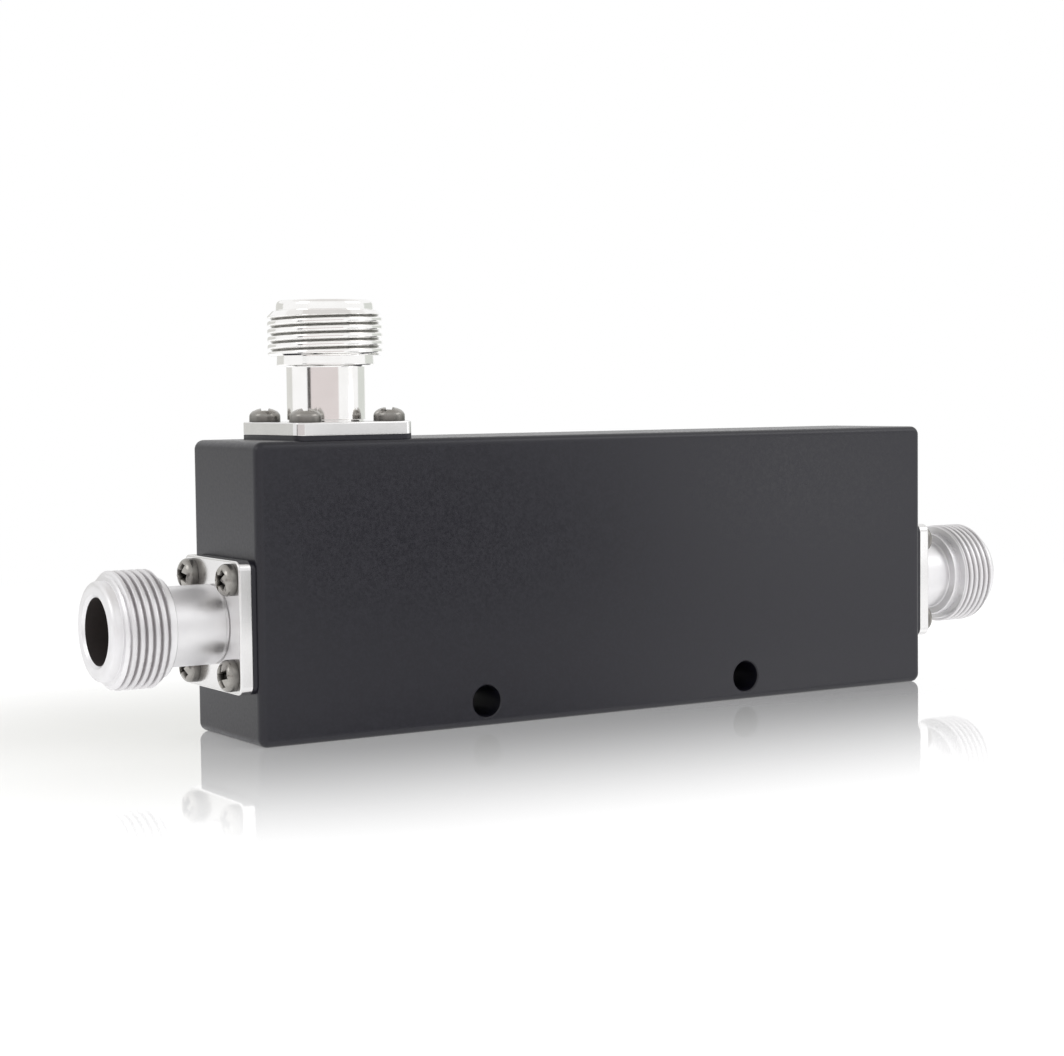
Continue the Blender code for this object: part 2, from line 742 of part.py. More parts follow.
def shell_profile() -> list[tuple[float, float]]:
    """List the outer profile of a socket shell, from the front of its nose down into its flange."""
    nose = NOSE_DIAMETER / 2
    profile = [(0.0, NOSE_END)]
    for step in range(EDGE_FACETS + 1):
        angle = math.pi / 2 * step / EDGE_FACETS
        radius = nose - NOSE_EDGE_RADIUS * (1.0 - math.sin(angle))
        profile.append((radius, NOSE_END - NOSE_EDGE_RADIUS * (1.0 - math.cos(angle))))
    profile.append((nose, THREAD_END))
    profile += thread_profile()
    profile += [
        (COLLAR_DIAMETER / 2, COLLAR_END),
        (COLLAR_DIAMETER / 2, NECK_END),
        (NECK_DIAMETER / 2, NECK_END),
        (NECK_DIAMETER / 2, FLANGE_THICKNESS / 2),
        (0.0, FLANGE_THICKNESS / 2),
    ]
    return profile


def bore_profile() -> list[tuple[float, float]]:
    """List the stepped profile that is cut through a socket shell, from its nose to behind its flange."""
    bore = SOCKET_BORE_DIAMETER / 2
    seat = INSULATOR_DIAMETER / 2 + BORE_CLEARANCE
    return [
        (0.0, NOSE_END + CUT_MARGIN),
        (bore + SOCKET_MOUTH_CHAMFER + CUT_MARGIN, NOSE_END + CUT_MARGIN),
        (bore, NOSE_END - SOCKET_MOUTH_CHAMFER),
        (bore, BORE_FLOOR),
        (seat, BORE_FLOOR),
        (seat, -CUT_MARGIN),
        (0.0, -CUT_MARGIN),
    ]


def flange_clearance_drills() -> bmesh.types.BMesh:
    """Make the bars that cut the four holes of a flange."""
    drills = bmesh.new()
    for across, up in flange_hole_places():
        start = Vector((across, up, -CUT_MARGIN))
        end = Vector((across, up, FLANGE_THICKNESS + CUT_MARGIN))
        add_drill(drills, start, end, FLANGE_SCREW_DIAMETER + 2 * BORE_CLEARANCE, HIDDEN_HOLE_FACETS)
    return drills


def socket_shell() -> bpy.types.Mesh:
    """Make a socket shell: flange, neck, collar, thread and nose, turned and bored as one piece."""
    flange = prism(flange_outline(), 0.0, FLANGE_THICKNESS, along_z)
    steps = [
        ("UNION", turned(shell_profile())),
        ("DIFFERENCE", turned(bore_profile(), BEAD_FACETS)),
        ("DIFFERENCE", flange_clearance_drills()),
    ]
    return combined(flange, steps)


def insulator() -> bpy.types.Mesh:
    """Make the white bead that holds the contact, from just behind the socket's shoulder into the cavity."""
    outer = INSULATOR_DIAMETER / 2
    front = BORE_FLOOR - INSULATOR_STEP
    bead = turned([(0.0, front), (outer, front), (outer, INSULATOR_BACK), (0.0, INSULATOR_BACK)], BEAD_FACETS)
    hole = bmesh.new()
    start = Vector((0.0, 0.0, INSULATOR_BACK - CUT_MARGIN))
    end = Vector((0.0, 0.0, front + CUT_MARGIN))
    add_drill(hole, start, end, CONTACT_DIAMETER + 2 * BORE_CLEARANCE, ROD_FACETS)
    return combined(bead, [("DIFFERENCE", hole)])


def contact_slots(tip: float) -> bmesh.types.BMesh:
    """Make the two crossed blades that slot the front of a contact into four fingers."""
    half = CONTACT_SLOT_WIDTH / 2
    reach = CONTACT_DIAMETER
    outline = [(half, -reach), (half, -half), (reach, -half), (reach, half), (half, half), (half, reach)]
    outline += [(-u, -v) for u, v in outline]
    return prism(outline, tip - CONTACT_SLOT_DEPTH, tip + CUT_MARGIN, along_z)


def centre_contact() -> bpy.types.Mesh:
    """Make the slotted contact, with a thin pin at its back that enters the line."""
    tip = NOSE_END - CONTACT_TIP_DEPTH
    outer = CONTACT_DIAMETER / 2
    pin = CONTACT_PIN_DIAMETER / 2
    profile = [
        (0.0, tip),
        (outer - CONTACT_TIP_CHAMFER, tip),
        (outer, tip - CONTACT_TIP_CHAMFER),
        (outer, INSULATOR_BACK),
        (pin, INSULATOR_BACK),
        (pin, LINE_END - CONTACT_PIN_ENGAGEMENT),
        (0.0, LINE_END - CONTACT_PIN_ENGAGEMENT),
    ]
    bore = bmesh.new()
    start = Vector((0.0, 0.0, tip - CONTACT_SLOT_DEPTH - CONTACT_BORE_PAST_SLOTS))
    add_drill(bore, start, Vector((0.0, 0.0, tip + CUT_MARGIN)), CONTACT_BORE_DIAMETER, ROD_FACETS)
    steps = [("DIFFERENCE", bore), ("DIFFERENCE", contact_slots(tip))]
    return combined(turned(profile, ROD_FACETS), steps)


def flange_screw() -> bpy.types.Mesh:
    """Make a flange screw with its seat at the origin."""
    return pan_head_screw(
        FLANGE_SCREW_DIAMETER,
        FLANGE_SCREW_LENGTH,
        FLANGE_SCREW_HEAD_DIAMETER,
        FLANGE_SCREW_HEAD_HEIGHT,
        FLANGE_SCREW_SPOKE_LENGTH,
        FLANGE_SCREW_SPOKE_WIDTH,
    )


def add_sockets(finishes: dict[str, bpy.types.Material], ports: dict[str, bpy.types.Object]) -> None:
    """Add a shell, an insulator, a contact and four screws to each port."""
    shell = socket_shell()
    bead = insulator()
    contact = centre_contact()
    screw_mesh = flange_screw()
    for name, port in ports.items():
        add_part(f"{name}_socket_shell", shell, finishes["silver_plate"], port)
        add_part(f"{name}_insulator", bead, finishes["white_bead"], port)
        add_part(f"{name}_contact", contact, finishes["gold_plate"], port)
        for number, (across, up) in enumerate(flange_hole_places(), start=1):
            screw = add_part(f"{name}_flange_screw_{number}", screw_mesh, finishes["nickel_plate"], port)
            screw.location = (across, up, FLANGE_THICKNESS + SEAT_GAP)


def pin_socket(start: Vector, end: Vector) -> bmesh.types.BMesh:
    """Make the bar that cuts the blind hole for a contact's pin into the end of a line."""
    drill = bmesh.new()
    add_drill(drill, start, end, CONTACT_PIN_DIAMETER + 2 * BORE_CLEARANCE, HIDDEN_HOLE_FACETS)
    return drill


def add_main_line(finishes: dict[str, bpy.types.Material]) -> None:
    """Add the rod between the input and the output contact, with a neck and a blind hole at each end."""
    thick = MAIN_LINE_DIAMETER / 2
    thin = MAIN_LINE_NECK_DIAMETER / 2
    shoulder = MAIN_LINE_END - MAIN_LINE_NECK_LENGTH
    profile = [
        (0.0, MAIN_LINE_END),
        (thin, MAIN_LINE_END),
        (thin, shoulder),
        (thick, shoulder),
        (thick, -shoulder),
        (thin, -shoulder),
        (thin, -MAIN_LINE_END),
        (0.0, -MAIN_LINE_END),
    ]
    depth = CONTACT_PIN_ENGAGEMENT + HOLE_END_CLEARANCE
    steps = []
    for side in (-1.0, 1.0):
        start = Vector((0.0, 0.0, side * (MAIN_LINE_END - depth)))
        end = Vector((0.0, 0.0, side * (MAIN_LINE_END + CUT_MARGIN)))
        steps.append(("DIFFERENCE", pin_socket(start, end)))
    line = add_part("main_line", combined(turned(profile, ROD_FACETS), steps), finishes["line_silver"])
    line.matrix_world = screw_place(Vector((0.0, SOCKET_AXIS_Y, MAIN_AXIS_HEIGHT)), Vector((1.0, 0.0, 0.0)))


def coupled_line_outline() -> list[tuple[float, float]]:
    """List the side outline of the coupled line: a post under the third contact, then a rising strip."""
    left = COUPLED_SOCKET_X - COUPLED_POST_WIDTH / 2
    right = COUPLED_SOCKET_X + COUPLED_POST_WIDTH / 2
    run = COUPLED_LINE_FAR_END - right
    along = [right + run * step / COUPLING_STEPS for step in range(COUPLING_STEPS + 1)]
    under = [(x, coupling_height(x)) for x in along]
    over = [(x, height + COUPLED_LINE_THICKNESS) for x, height in reversed(under)]
    heel = []
    for step in range(CORNER_FACETS + 1):
        angle = math.pi / 2 * step / CORNER_FACETS
        x = left + COUPLED_LINE_BEND_RADIUS * (1.0 - math.cos(angle))
        heel.append((x, under[0][1] + COUPLED_LINE_BEND_RADIUS * (1.0 - math.sin(angle))))
    return under + over + [(right, COUPLED_POST_TOP), (left, COUPLED_POST_TOP)] + heel


def add_coupled_line(finishes: dict[str, bpy.types.Material]) -> None:
    """Add the coupled line, with a blind hole in the top of its post."""
    half = COUPLED_LINE_WIDTH / 2
    strip = prism(coupled_line_outline(), SOCKET_AXIS_Y - half, SOCKET_AXIS_Y + half)
    depth = CONTACT_PIN_ENGAGEMENT + HOLE_END_CLEARANCE
    start = Vector((COUPLED_SOCKET_X, SOCKET_AXIS_Y, COUPLED_POST_TOP - depth))
    end = Vector((COUPLED_SOCKET_X, SOCKET_AXIS_Y, COUPLED_POST_TOP + CUT_MARGIN))
    mesh = combined(strip, [("DIFFERENCE", pin_socket(start, end))])
    add_part("coupled_line", mesh, finishes["line_silver"])


def line_support(x: float) -> bpy.types.Mesh:
    """Make one comb: a block across the cavity, with a hole for the main line and a notch for the other line.

    Args:
        x: Middle of the comb along the lines.

    Returns:
        The mesh.
    """
    half = SUPPORT_THICKNESS / 2
    lowest = min(coupling_height(x - half), coupling_height(x + half))
    highest = max(coupling_height(x - half), coupling_height(x + half)) + COUPLED_LINE_THICKNESS
    front = CAVITY_FRONT + SEAT_GAP
    back = COVER_INNER - SEAT_GAP
    top = highest + SUPPORT_LIP
    base = BOTTOM_RAIL + SEAT_GAP
    block = prism([(x - half, base), (x + half, base), (x + half, top), (x - half, top)], front, back)
    hole = bmesh.new()
    start = Vector((x - half - CUT_MARGIN, SOCKET_AXIS_Y, MAIN_AXIS_HEIGHT))
    end = Vector((x + half + CUT_MARGIN, SOCKET_AXIS_Y, MAIN_AXIS_HEIGHT))
    add_drill(hole, start, end, MAIN_LINE_DIAMETER + 2 * BORE_CLEARANCE, ROD_FACETS)
    notch_half = COUPLED_LINE_WIDTH / 2 + BORE_CLEARANCE
    notch_outline = [
        (x - half - CUT_MARGIN, lowest - SEAT_GAP),
        (x + half + CUT_MARGIN, lowest - SEAT_GAP),
        (x + half + CUT_MARGIN, top + CUT_MARGIN),
        (x - half - CUT_MARGIN, top + CUT_MARGIN),
    ]
    notch = prism(notch_outline, SOCKET_AXIS_Y - notch_half, SOCKET_AXIS_Y + notch_half)
    return combined(block, [("DIFFERENCE", hole), ("DIFFERENCE", notch)])


def add_line_supports(finishes: dict[str, bpy.types.Material]) -> None:
    """Add the combs, spaced evenly between the coupled line's post and its far end."""
    start = COUPLED_SOCKET_X + COUPLED_POST_WIDTH / 2
    pitch = (COUPLED_LINE_FAR_END - start) / (SUPPORT_COUNT + 1)
    for number in range(1, SUPPORT_COUNT + 1):
        mesh = line_support(start + pitch * number)
        add_part(f"line_support_{number}", mesh, finishes["white_bead"])


def centred_outline(x: float, height: float, width: float, rise: float) -> list[tuple[float, float]]:
    """List the corners of an upright rectangle round a middle point."""
    return [
        (x - width / 2, height - rise / 2),
        (x + width / 2, height - rise / 2),
        (x + width / 2, height + rise / 2),
        (x - width / 2, height + rise / 2),
    ]


def load_base() -> bpy.types.Mesh:
    """Make the metal base of the load, with its two screw holes."""
    outline = centred_outline(LOAD_X, LOAD_HEIGHT, LOAD_BASE_LENGTH, LOAD_BASE_WIDTH)
    holes = bmesh.new()
    for x, up in load_screw_places():
        start = Vector((x, LOAD_BASE_FRONT - CUT_MARGIN, up))
        end = Vector((x, LOAD_BASE_BACK + CUT_MARGIN, up))
        add_drill(holes, start, end, LOAD_SCREW_DIAMETER + 2 * BORE_CLEARANCE, HIDDEN_HOLE_FACETS)
    return combined(prism(outline, LOAD_BASE_FRONT, LOAD_BASE_BACK), [("DIFFERENCE", holes)])


def add_load(finishes: dict[str, bpy.types.Material]) -> None:
    """Add the load on the front wall: base, element, lead tab before the coupled line's end, two screws."""
    add_part("load_base", load_base(), finishes["nickel_plate"])

    outline = centred_outline(LOAD_X, LOAD_HEIGHT, LOAD_ELEMENT_WIDTH, LOAD_ELEMENT_WIDTH)
    element = prism(outline, LOAD_ELEMENT_FRONT, LOAD_ELEMENT_BACK)
    add_part("load_element", plain_mesh(element), finishes["load_ceramic"])

    tab_x = LOAD_X + (LOAD_ELEMENT_WIDTH - LOAD_TAB_LENGTH) / 2
    outline = centred_outline(tab_x, LOAD_HEIGHT, LOAD_TAB_LENGTH, LOAD_TAB_WIDTH)
    tab = prism(outline, LOAD_TAB_FRONT, LOAD_TAB_BACK)
    add_part("load_tab", plain_mesh(tab), finishes["line_silver"])

    mesh = pan_head_screw(
        LOAD_SCREW_DIAMETER,
        LOAD_SCREW_LENGTH,
        LOAD_SCREW_HEAD_DIAMETER,
        LOAD_SCREW_HEAD_HEIGHT,
        LOAD_SCREW_SPOKE_LENGTH,
        LOAD_SCREW_SPOKE_WIDTH,
    )
    for number, (x, up) in enumerate(load_screw_places(), start=1):
        screw = add_part(f"load_screw_{number}", mesh, finishes["nickel_plate"])
        screw.matrix_world = screw_place(Vector((x, LOAD_BASE_BACK + SEAT_GAP, up)), Vector((0.0, 1.0, 0.0)))


def main() -> None:
    """Build the coupler."""
    clear_scene()
    finishes = make_finishes()
    ports = make_ports()
    bpy.context.view_layer.update()
    add_housing(finishes, ports)
    add_rear_cover(finishes)
    add_cover_screws(finishes)
    add_sockets(finishes, ports)
    add_main_line(finishes)
    add_coupled_line(finishes)
    add_line_supports(finishes)
    add_load(finishes)


main()
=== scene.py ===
"""Dress the frame of a cavity directional coupler and set the studio that it stands in.

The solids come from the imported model. This file lays finer surfaces over the pieces that show, gives
every piece a finish worked out from the real one, and sets a glossy pale floor, soft lamps and the camera.
All sizes are in metres, in the frame of the solids: X runs along the main line, Y from the front face to the
back, and Z up.
"""

from __future__ import annotations

import json
import logging
import math
from collections.abc import Sequence
from dataclasses import dataclass, field
from enum import Enum

import bmesh
import bpy
import numpy as np
from mathutils import Matrix, Vector

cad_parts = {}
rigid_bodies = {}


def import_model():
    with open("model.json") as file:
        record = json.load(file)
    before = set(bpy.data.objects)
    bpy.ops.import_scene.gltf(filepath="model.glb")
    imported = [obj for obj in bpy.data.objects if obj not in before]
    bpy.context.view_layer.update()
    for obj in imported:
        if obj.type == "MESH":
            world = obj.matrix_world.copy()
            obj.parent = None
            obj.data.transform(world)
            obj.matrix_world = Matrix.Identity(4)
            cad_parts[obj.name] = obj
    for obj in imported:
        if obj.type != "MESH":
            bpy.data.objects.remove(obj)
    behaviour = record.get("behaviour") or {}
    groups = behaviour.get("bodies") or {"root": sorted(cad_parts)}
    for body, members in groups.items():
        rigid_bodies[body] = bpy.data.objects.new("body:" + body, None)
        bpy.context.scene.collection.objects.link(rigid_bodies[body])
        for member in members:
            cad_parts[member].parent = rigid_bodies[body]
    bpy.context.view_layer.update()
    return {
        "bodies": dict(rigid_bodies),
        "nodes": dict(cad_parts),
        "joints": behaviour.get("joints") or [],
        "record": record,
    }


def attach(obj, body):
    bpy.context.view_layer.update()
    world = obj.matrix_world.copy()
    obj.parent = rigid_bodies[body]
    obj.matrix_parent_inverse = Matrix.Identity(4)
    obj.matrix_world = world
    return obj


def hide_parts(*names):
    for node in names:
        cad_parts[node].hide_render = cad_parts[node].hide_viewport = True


LOG = logging.getLogger("coupler")
BODY = "root"
WELD_DISTANCE = 1e-7
SHARP_ANGLE = math.radians(32.0)
CUT_MARGIN = 0.001
BESIDE_ARC = 0.35
BESIDE_EDGE = 0.3
WHITE = "#FFFFFF"


class Slot(str, Enum):
    """Material slots of the record that the pieces take their finish from."""

    BLACK_COAT = "black_coat"
    SILVER_PLATE = "silver_plate"
    NICKEL_PLATE = "nickel_plate"
    GOLD_PLATE = "gold_plate"
    WHITE_BEAD = "white_bead"
    LOAD_CERAMIC = "load_ceramic"
    LINE_SILVER = "line_silver"


class Port(str, Enum):
    """The three sockets, by the word that the names of their nodes start with."""

    INPUT = "input"
    OUTPUT = "output"
    COUPLED = "coupled"


class Mark(str, Enum):
    """Values that a piece carries on its points for its finish to read."""

    TURNING = "turning"
    # Depth in a groove or recess, and nearness to a screw's seat, which the finishes turn into painted shade
    RECESS = "recess"


# Surfaces


@dataclass
class Surface:
    """Points and faces of a shape that isn't in the scene yet.

    Attributes:
        points: One row of X, Y and Z for each point.
        faces: Point numbers of each face.
        finish: Number of the finish on each face.
        marks: Values on the points for a finish to read, by name.
    """

    points: np.ndarray
    faces: list[list[int]]
    finish: np.ndarray
    marks: dict[Mark, np.ndarray] = field(default_factory=dict)

    def moved(self, matrix: Matrix) -> Surface:
        """Give the same shape with every point carried through a matrix.

        Args:
            matrix: Four by four matrix.

        Returns:
            The moved shape, with the same marks.
        """
        table = np.array(matrix)
        points = self.points @ table[:3, :3].T + table[:3, 3]
        return Surface(points, self.faces, self.finish, self.marks)

    def mesh(self, name: str) -> bpy.types.Mesh:
        """Make a mesh with merged doubles and outward faces.

        Args:
            name: Name of the mesh.

        Returns:
            The mesh.
        """
        mesh = bpy.data.meshes.new(name)
        mesh.from_pydata(self.points.tolist(), [], self.faces)
        mesh.polygons.foreach_set("material_index", self.finish.astype(np.int32))
        for mark, values in self.marks.items():
            kind, entry = ("FLOAT", "value") if values.ndim == 1 else ("FLOAT_VECTOR", "vector")
            layer = mesh.attributes.new(mark.value, kind, "POINT")
            layer.data.foreach_set(entry, values.astype(np.float32).ravel())
        shape = bmesh.new()
        shape.from_mesh(mesh)
        bmesh.ops.remove_doubles(shape, verts=shape.verts, dist=WELD_DISTANCE)
        bmesh.ops.recalc_face_normals(shape, faces=shape.faces)
        shape.to_mesh(mesh)
        shape.free()
        return mesh


def from_mesh(mesh: bpy.types.Mesh) -> Surface:
    """Read a mesh back into points and faces, with its first finish all over.

    Args:
        mesh: Mesh to read, which is then removed.

    Returns:
        The shape.
    """
    points = np.empty(len(mesh.vertices) * 3, dtype=np.float32)
    mesh.vertices.foreach_get("co", points)
    corners = np.empty(len(mesh.loops), dtype=np.int32)
    mesh.loops.foreach_get("vertex_index", corners)
    starts = np.empty(len(mesh.polygons), dtype=np.int32)
    mesh.polygons.foreach_get("loop_start", starts)
    faces = [part.tolist() for part in np.split(corners, starts[1:])]
    bpy.data.meshes.remove(mesh)
    return Surface(points.reshape(-1, 3).astype(float), faces, np.zeros(len(faces), dtype=int))


def joined(shapes: Sequence[Surface]) -> Surface:
    """Lay shapes side by side in one list of points and faces.

    Args:
        shapes: The shapes, which have the same marks.

    Returns:
        One shape that holds them all.
    """
    faces: list[list[int]] = []
    start = 0
    for shape in shapes:
        faces += [[corner + start for corner in face] for face in shape.faces]
        start += len(shape.points)
    marks = {mark: np.concatenate([shape.marks[mark] for shape in shapes]) for mark in shapes[0].marks}
    points = np.concatenate([shape.points for shape in shapes])
    return Surface(points, faces, np.concatenate([shape.finish for shape in shapes]), marks)


def grid_faces(rows: int, columns: int, loop: bool) -> np.ndarray:
    """Number the corners of each face of a grid whose columns run round in a ring.

    The face at row i and column j joins points (i, j), (i, j + 1), (i + 1, j + 1) and (i + 1, j), and point
    (i, j) has the number i times columns plus j.

    Args:
        rows: Points along the profile.
        columns: Points round the ring.
        loop: Whether the last row joins the first one too.

    Returns:
        One row of four point numbers for each face.
    """
    row, column = np.meshgrid(np.arange(rows if loop else rows - 1), np.arange(columns), indexing="ij")
    here, below = row * columns, (row + 1) % rows * columns
    after = (column + 1) % columns
    corners = (here + column, here + after, below + after, below + column)
    return np.stack(corners, axis=-1).reshape(-1, 4)


def rounded_profile(
    corners: Sequence[tuple[float, float, float]], steps: int = 5, loop: bool = False
) -> np.ndarray:
    """Round the corners of a profile with arcs, with a point beside each arc so that flats shade as flats.

    At a corner with radius r between two sides that turn by the angle t, the arc touches each side at the
    distance r * tan(t / 2), and its centre stands on the bisector at r / cos(t / 2).

    Args:
        corners: First and second coordinate and radius of each corner. A radius of 0 keeps the corner.
        steps: Faces along each arc.
        loop: Whether the last corner joins the first one.

    Returns:
        One row of two coordinates for each point.
    """
    places = np.array([corner[:2] for corner in corners])
    rows: list[np.ndarray] = []
    for number, (_, _, radius) in enumerate(corners):
        here = places[number]
        if radius == 0.0 or (not loop and number in (0, len(corners) - 1)):
            rows.append(here[None, :])
            continue
        back = places[number - 1] - here
        ahead = places[(number + 1) % len(places)] - here
        back_length, ahead_length = np.linalg.norm(back), np.linalg.norm(ahead)
        back, ahead = back / back_length, ahead / ahead_length
        half = math.acos(float(np.clip(back @ ahead, -1.0, 1.0))) / 2
        reach = radius / math.tan(half)
        bisector = (back + ahead) / np.linalg.norm(back + ahead)
        centre = here + bisector * radius / math.sin(half)
        first, last = here + back * reach - centre, here + ahead * reach - centre
        turn = math.pi - 2 * half
        share = np.linspace(0.0, 1.0, steps + 1)[:, None]
        arc = (np.sin((1 - share) * turn) * first + np.sin(share * turn) * last) / math.sin(turn)
        beside = BESIDE_ARC * radius
        rows.append((here + back * min(reach + beside, 0.5 * (reach + back_length)))[None, :])
        rows.append(centre + arc)
        rows.append((here + ahead * min(reach + beside, 0.5 * (reach + ahead_length)))[None, :])
    return np.concatenate(rows)


def revolved(radius: np.ndarray, height: np.ndarray, columns: int, loop: bool = False) -> Surface:
    """Carry a profile round the Z axis.

    Point (i, j) stands at the radius and height of row i, at the angle 2 * pi * j / columns. A radius with
    two dimensions gives each column its own, as on a thread. The turning mark holds the height and radius.

    Args:
        radius: Radius of each row, or of each row and column.
        height: Height of each row.
        columns: Points round the axis.
        loop: Whether the profile is a closed ring.

    Returns:
        The shape.
    """
    angle = 2 * math.pi * np.arange(columns) / columns
    radii = np.broadcast_to(radius if radius.ndim == 2 else radius[:, None], (len(height), columns))
    heights = np.broadcast_to(height[:, None], radii.shape)
    points = np.stack([radii * np.cos(angle), radii * np.sin(angle), heights], axis=-1).reshape(-1, 3)
    marks = {Mark.TURNING: np.stack([heights, radii, np.zeros_like(radii)], axis=-1).reshape(-1, 3)}
    faces = grid_faces(len(height), columns, loop)
    return Surface(points, faces.tolist(), np.zeros(len(faces), dtype=int), marks)


@dataclass(frozen=True)
class Slab:
    """A flat plate with round corners and softened edges, standing along the third axis.

    Attributes:
        left: Lowest first coordinate.
        right: Highest first coordinate.
        low: Lowest second coordinate.
        high: Highest second coordinate.
        near: Lowest third coordinate.
        far: Highest third coordinate.
        corner: Corner radius of the outline.
        near_edge: Edge radius round the near face.
        far_edge: Edge radius round the far face.
        corner_steps: Faces along each corner.
        edge_steps: Faces across each edge.
    """

    left: float
    right: float
    low: float
    high: float
    near: float
    far: float
    corner: float
    near_edge: float = 0.0
    far_edge: float = 0.0
    corner_steps: int = 10
    edge_steps: int = 6

    def rows(self) -> np.ndarray:
        """List how far each ring of points lies inside the outline, and at what depth.

        Each edge is a quarter circle, from (edge, face) to (0, face + edge), with one more ring on each side.

        Returns:
            One row of inset and depth for each ring.
        """
        rings: list[tuple[float, float]] = []
        for edge, face, inward in ((self.near_edge, self.near, 1.0), (self.far_edge, self.far, -1.0)):
            side: list[tuple[float, float]] = []
            if edge == 0.0:
                side = [(0.0, face)]
            else:
                beside = BESIDE_EDGE * edge
                side.append((edge + beside, face))
                for angle in np.linspace(0.0, math.pi / 2, self.edge_steps + 1):
                    side.append((edge * (1 - math.sin(angle)), face + inward * edge * (1 - math.cos(angle))))
                side.append((0.0, face + inward * (edge + beside)))
            rings += side if inward > 0 else side[::-1]
        return np.array(rings)

    def surface(self) -> Surface:
        """Make the closed plate.

        Ring i is the outline with its corner radius less inset i: each corner's centre plus (radius - inset)
        times (cos a, sin a), for a through a quarter turn.

        Returns:
            The shape.
        """
        quarter = np.linspace(0.0, math.pi / 2, self.corner_steps + 1)
        angle = np.concatenate([quarter + math.pi / 2 * number for number in range(4)])
        across = np.repeat([self.right, self.left, self.left, self.right], self.corner_steps + 1)
        up = np.repeat([self.high, self.high, self.low, self.low], self.corner_steps + 1)
        inward = np.repeat([[-1, -1], [1, -1], [1, 1], [-1, 1]], self.corner_steps + 1, axis=0) * self.corner
        rows = self.rows()
        reach = self.corner - rows[:, :1]
        u = across + inward[:, 0] + reach * np.cos(angle)
        v = up + inward[:, 1] + reach * np.sin(angle)
        w = np.broadcast_to(rows[:, 1:], u.shape)
        points = np.stack([u, v, w], axis=-1).reshape(-1, 3)
        columns = len(angle)
        faces = grid_faces(len(rows), columns, False).tolist()
        faces.append(list(range(columns))[::-1])
        faces.append(list(range(len(points) - columns, len(points))))
        return Surface(points, faces, np.zeros(len(faces), dtype=int))


# Turns a slab that lies flat into one that stands up, with its depth along Y
UPRIGHT = Matrix(((1, 0, 0, 0), (0, 0, 1, 0), (0, 1, 0, 0), (0, 0, 0, 1)))


def facing(outward: Vector) -> Matrix:
    """Give the matrix that turns the third axis to a direction.

    Args:
        outward: The direction.

    Returns:
        The matrix.
    """
    return outward.to_track_quat("Z", "Y").to_matrix().to_4x4()


def drill(start: Vector, end: Vector, diameter: float, flare: float = 0.0, columns: int = 48) -> Surface:
    """Make a round bar to cut a hole with, wider at both ends so that the rims come out broken.

    Args:
        start: Middle of the face that the hole starts in.
        end: Middle of the face that it ends in.
        diameter: Diameter of the hole.
        flare: How far each rim is broken at 45 degrees. 0 makes a plain bar from start to end.
        columns: Faces round the hole.

    Returns:
        The shape.
    """
    run = end - start
    bore = diameter / 2
    profile = [(0.0, 0.0), (bore, 0.0), (bore, run.length), (0.0, run.length)]
    if flare:
        wide = bore + flare + CUT_MARGIN
        profile = [(0.0, -CUT_MARGIN), (wide, -CUT_MARGIN), (bore, flare), (bore, run.length - flare)]
        profile += [(wide, run.length + CUT_MARGIN), (0.0, run.length + CUT_MARGIN)]
    table = np.array(profile)
    bar = revolved(table[:, 0], table[:, 1], columns)
    return bar.moved(Matrix.Translation(start) @ facing(run))


def carved(base: Surface, steps: Sequence[tuple[str, Surface]]) -> Surface:
    """Join shapes to a base and cut shapes from it, in order.

    Args:
        base: Shape to start from.
        steps: Boolean operation and shape for each step.

    Returns:
        The shape that results.
    """
    guides = [bpy.data.objects.new("guide", base.mesh("guide"))]
    for operation, shape in steps:
        guides.append(bpy.data.objects.new("guide", shape.mesh("guide")))
        modifier = guides[0].modifiers.new(operation.lower(), "BOOLEAN")
        modifier.operation = operation
        modifier.object = guides[-1]
        modifier.solver = "EXACT"
    for guide in guides:
        bpy.context.scene.collection.objects.link(guide)
    bpy.context.view_layer.update()
    result = bpy.data.meshes.new_from_object(guides[0].evaluated_get(bpy.context.evaluated_depsgraph_get()))
    for guide in guides:
        bpy.data.objects.remove(guide, do_unlink=True)
    return from_mesh(result)


def add_piece(
    name: str, shape: Surface, finishes: Sequence[bpy.types.Material], nodes: Sequence[str]
) -> bpy.types.Object:
    """Put a finished piece into the scene in place of the solids that it stands for.

    Args:
        name: Name of the piece.
        shape: Its shape.
        finishes: Its finishes, in the order of the numbers on its faces.
        nodes: Nodes that it replaces.

    Returns:
        The piece.
    """
    mesh = shape.mesh(name)
    for finish in finishes:
        mesh.materials.append(finish)
    mesh.shade_smooth()
    mesh.set_sharp_from_angle(angle=SHARP_ANGLE)
    piece = bpy.data.objects.new(name, mesh)
    bpy.context.scene.collection.objects.link(piece)
    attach(piece, BODY)
    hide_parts(*nodes)
    mesh.calc_loop_triangles()
    LOG.info("%s: %d triangles, stands for %s", name, len(mesh.loop_triangles), ", ".join(nodes))
    return piece


# Finishes


def linear(code: str) -> tuple[float, float, float, float]:
    """Turn an sRGB hex colour into linear light.

    Args:
        code: Colour such as "#1E1E21".

    Returns:
        Red, green, blue and an alpha of 1.
    """
    shares = np.array([int(code[start : start + 2], 16) / 255 for start in (1, 3, 5)])
    values = np.where(shares <= 0.04045, shares / 12.92, ((shares + 0.055) / 1.055) ** 2.4)
    return (*values.tolist(), 1.0)


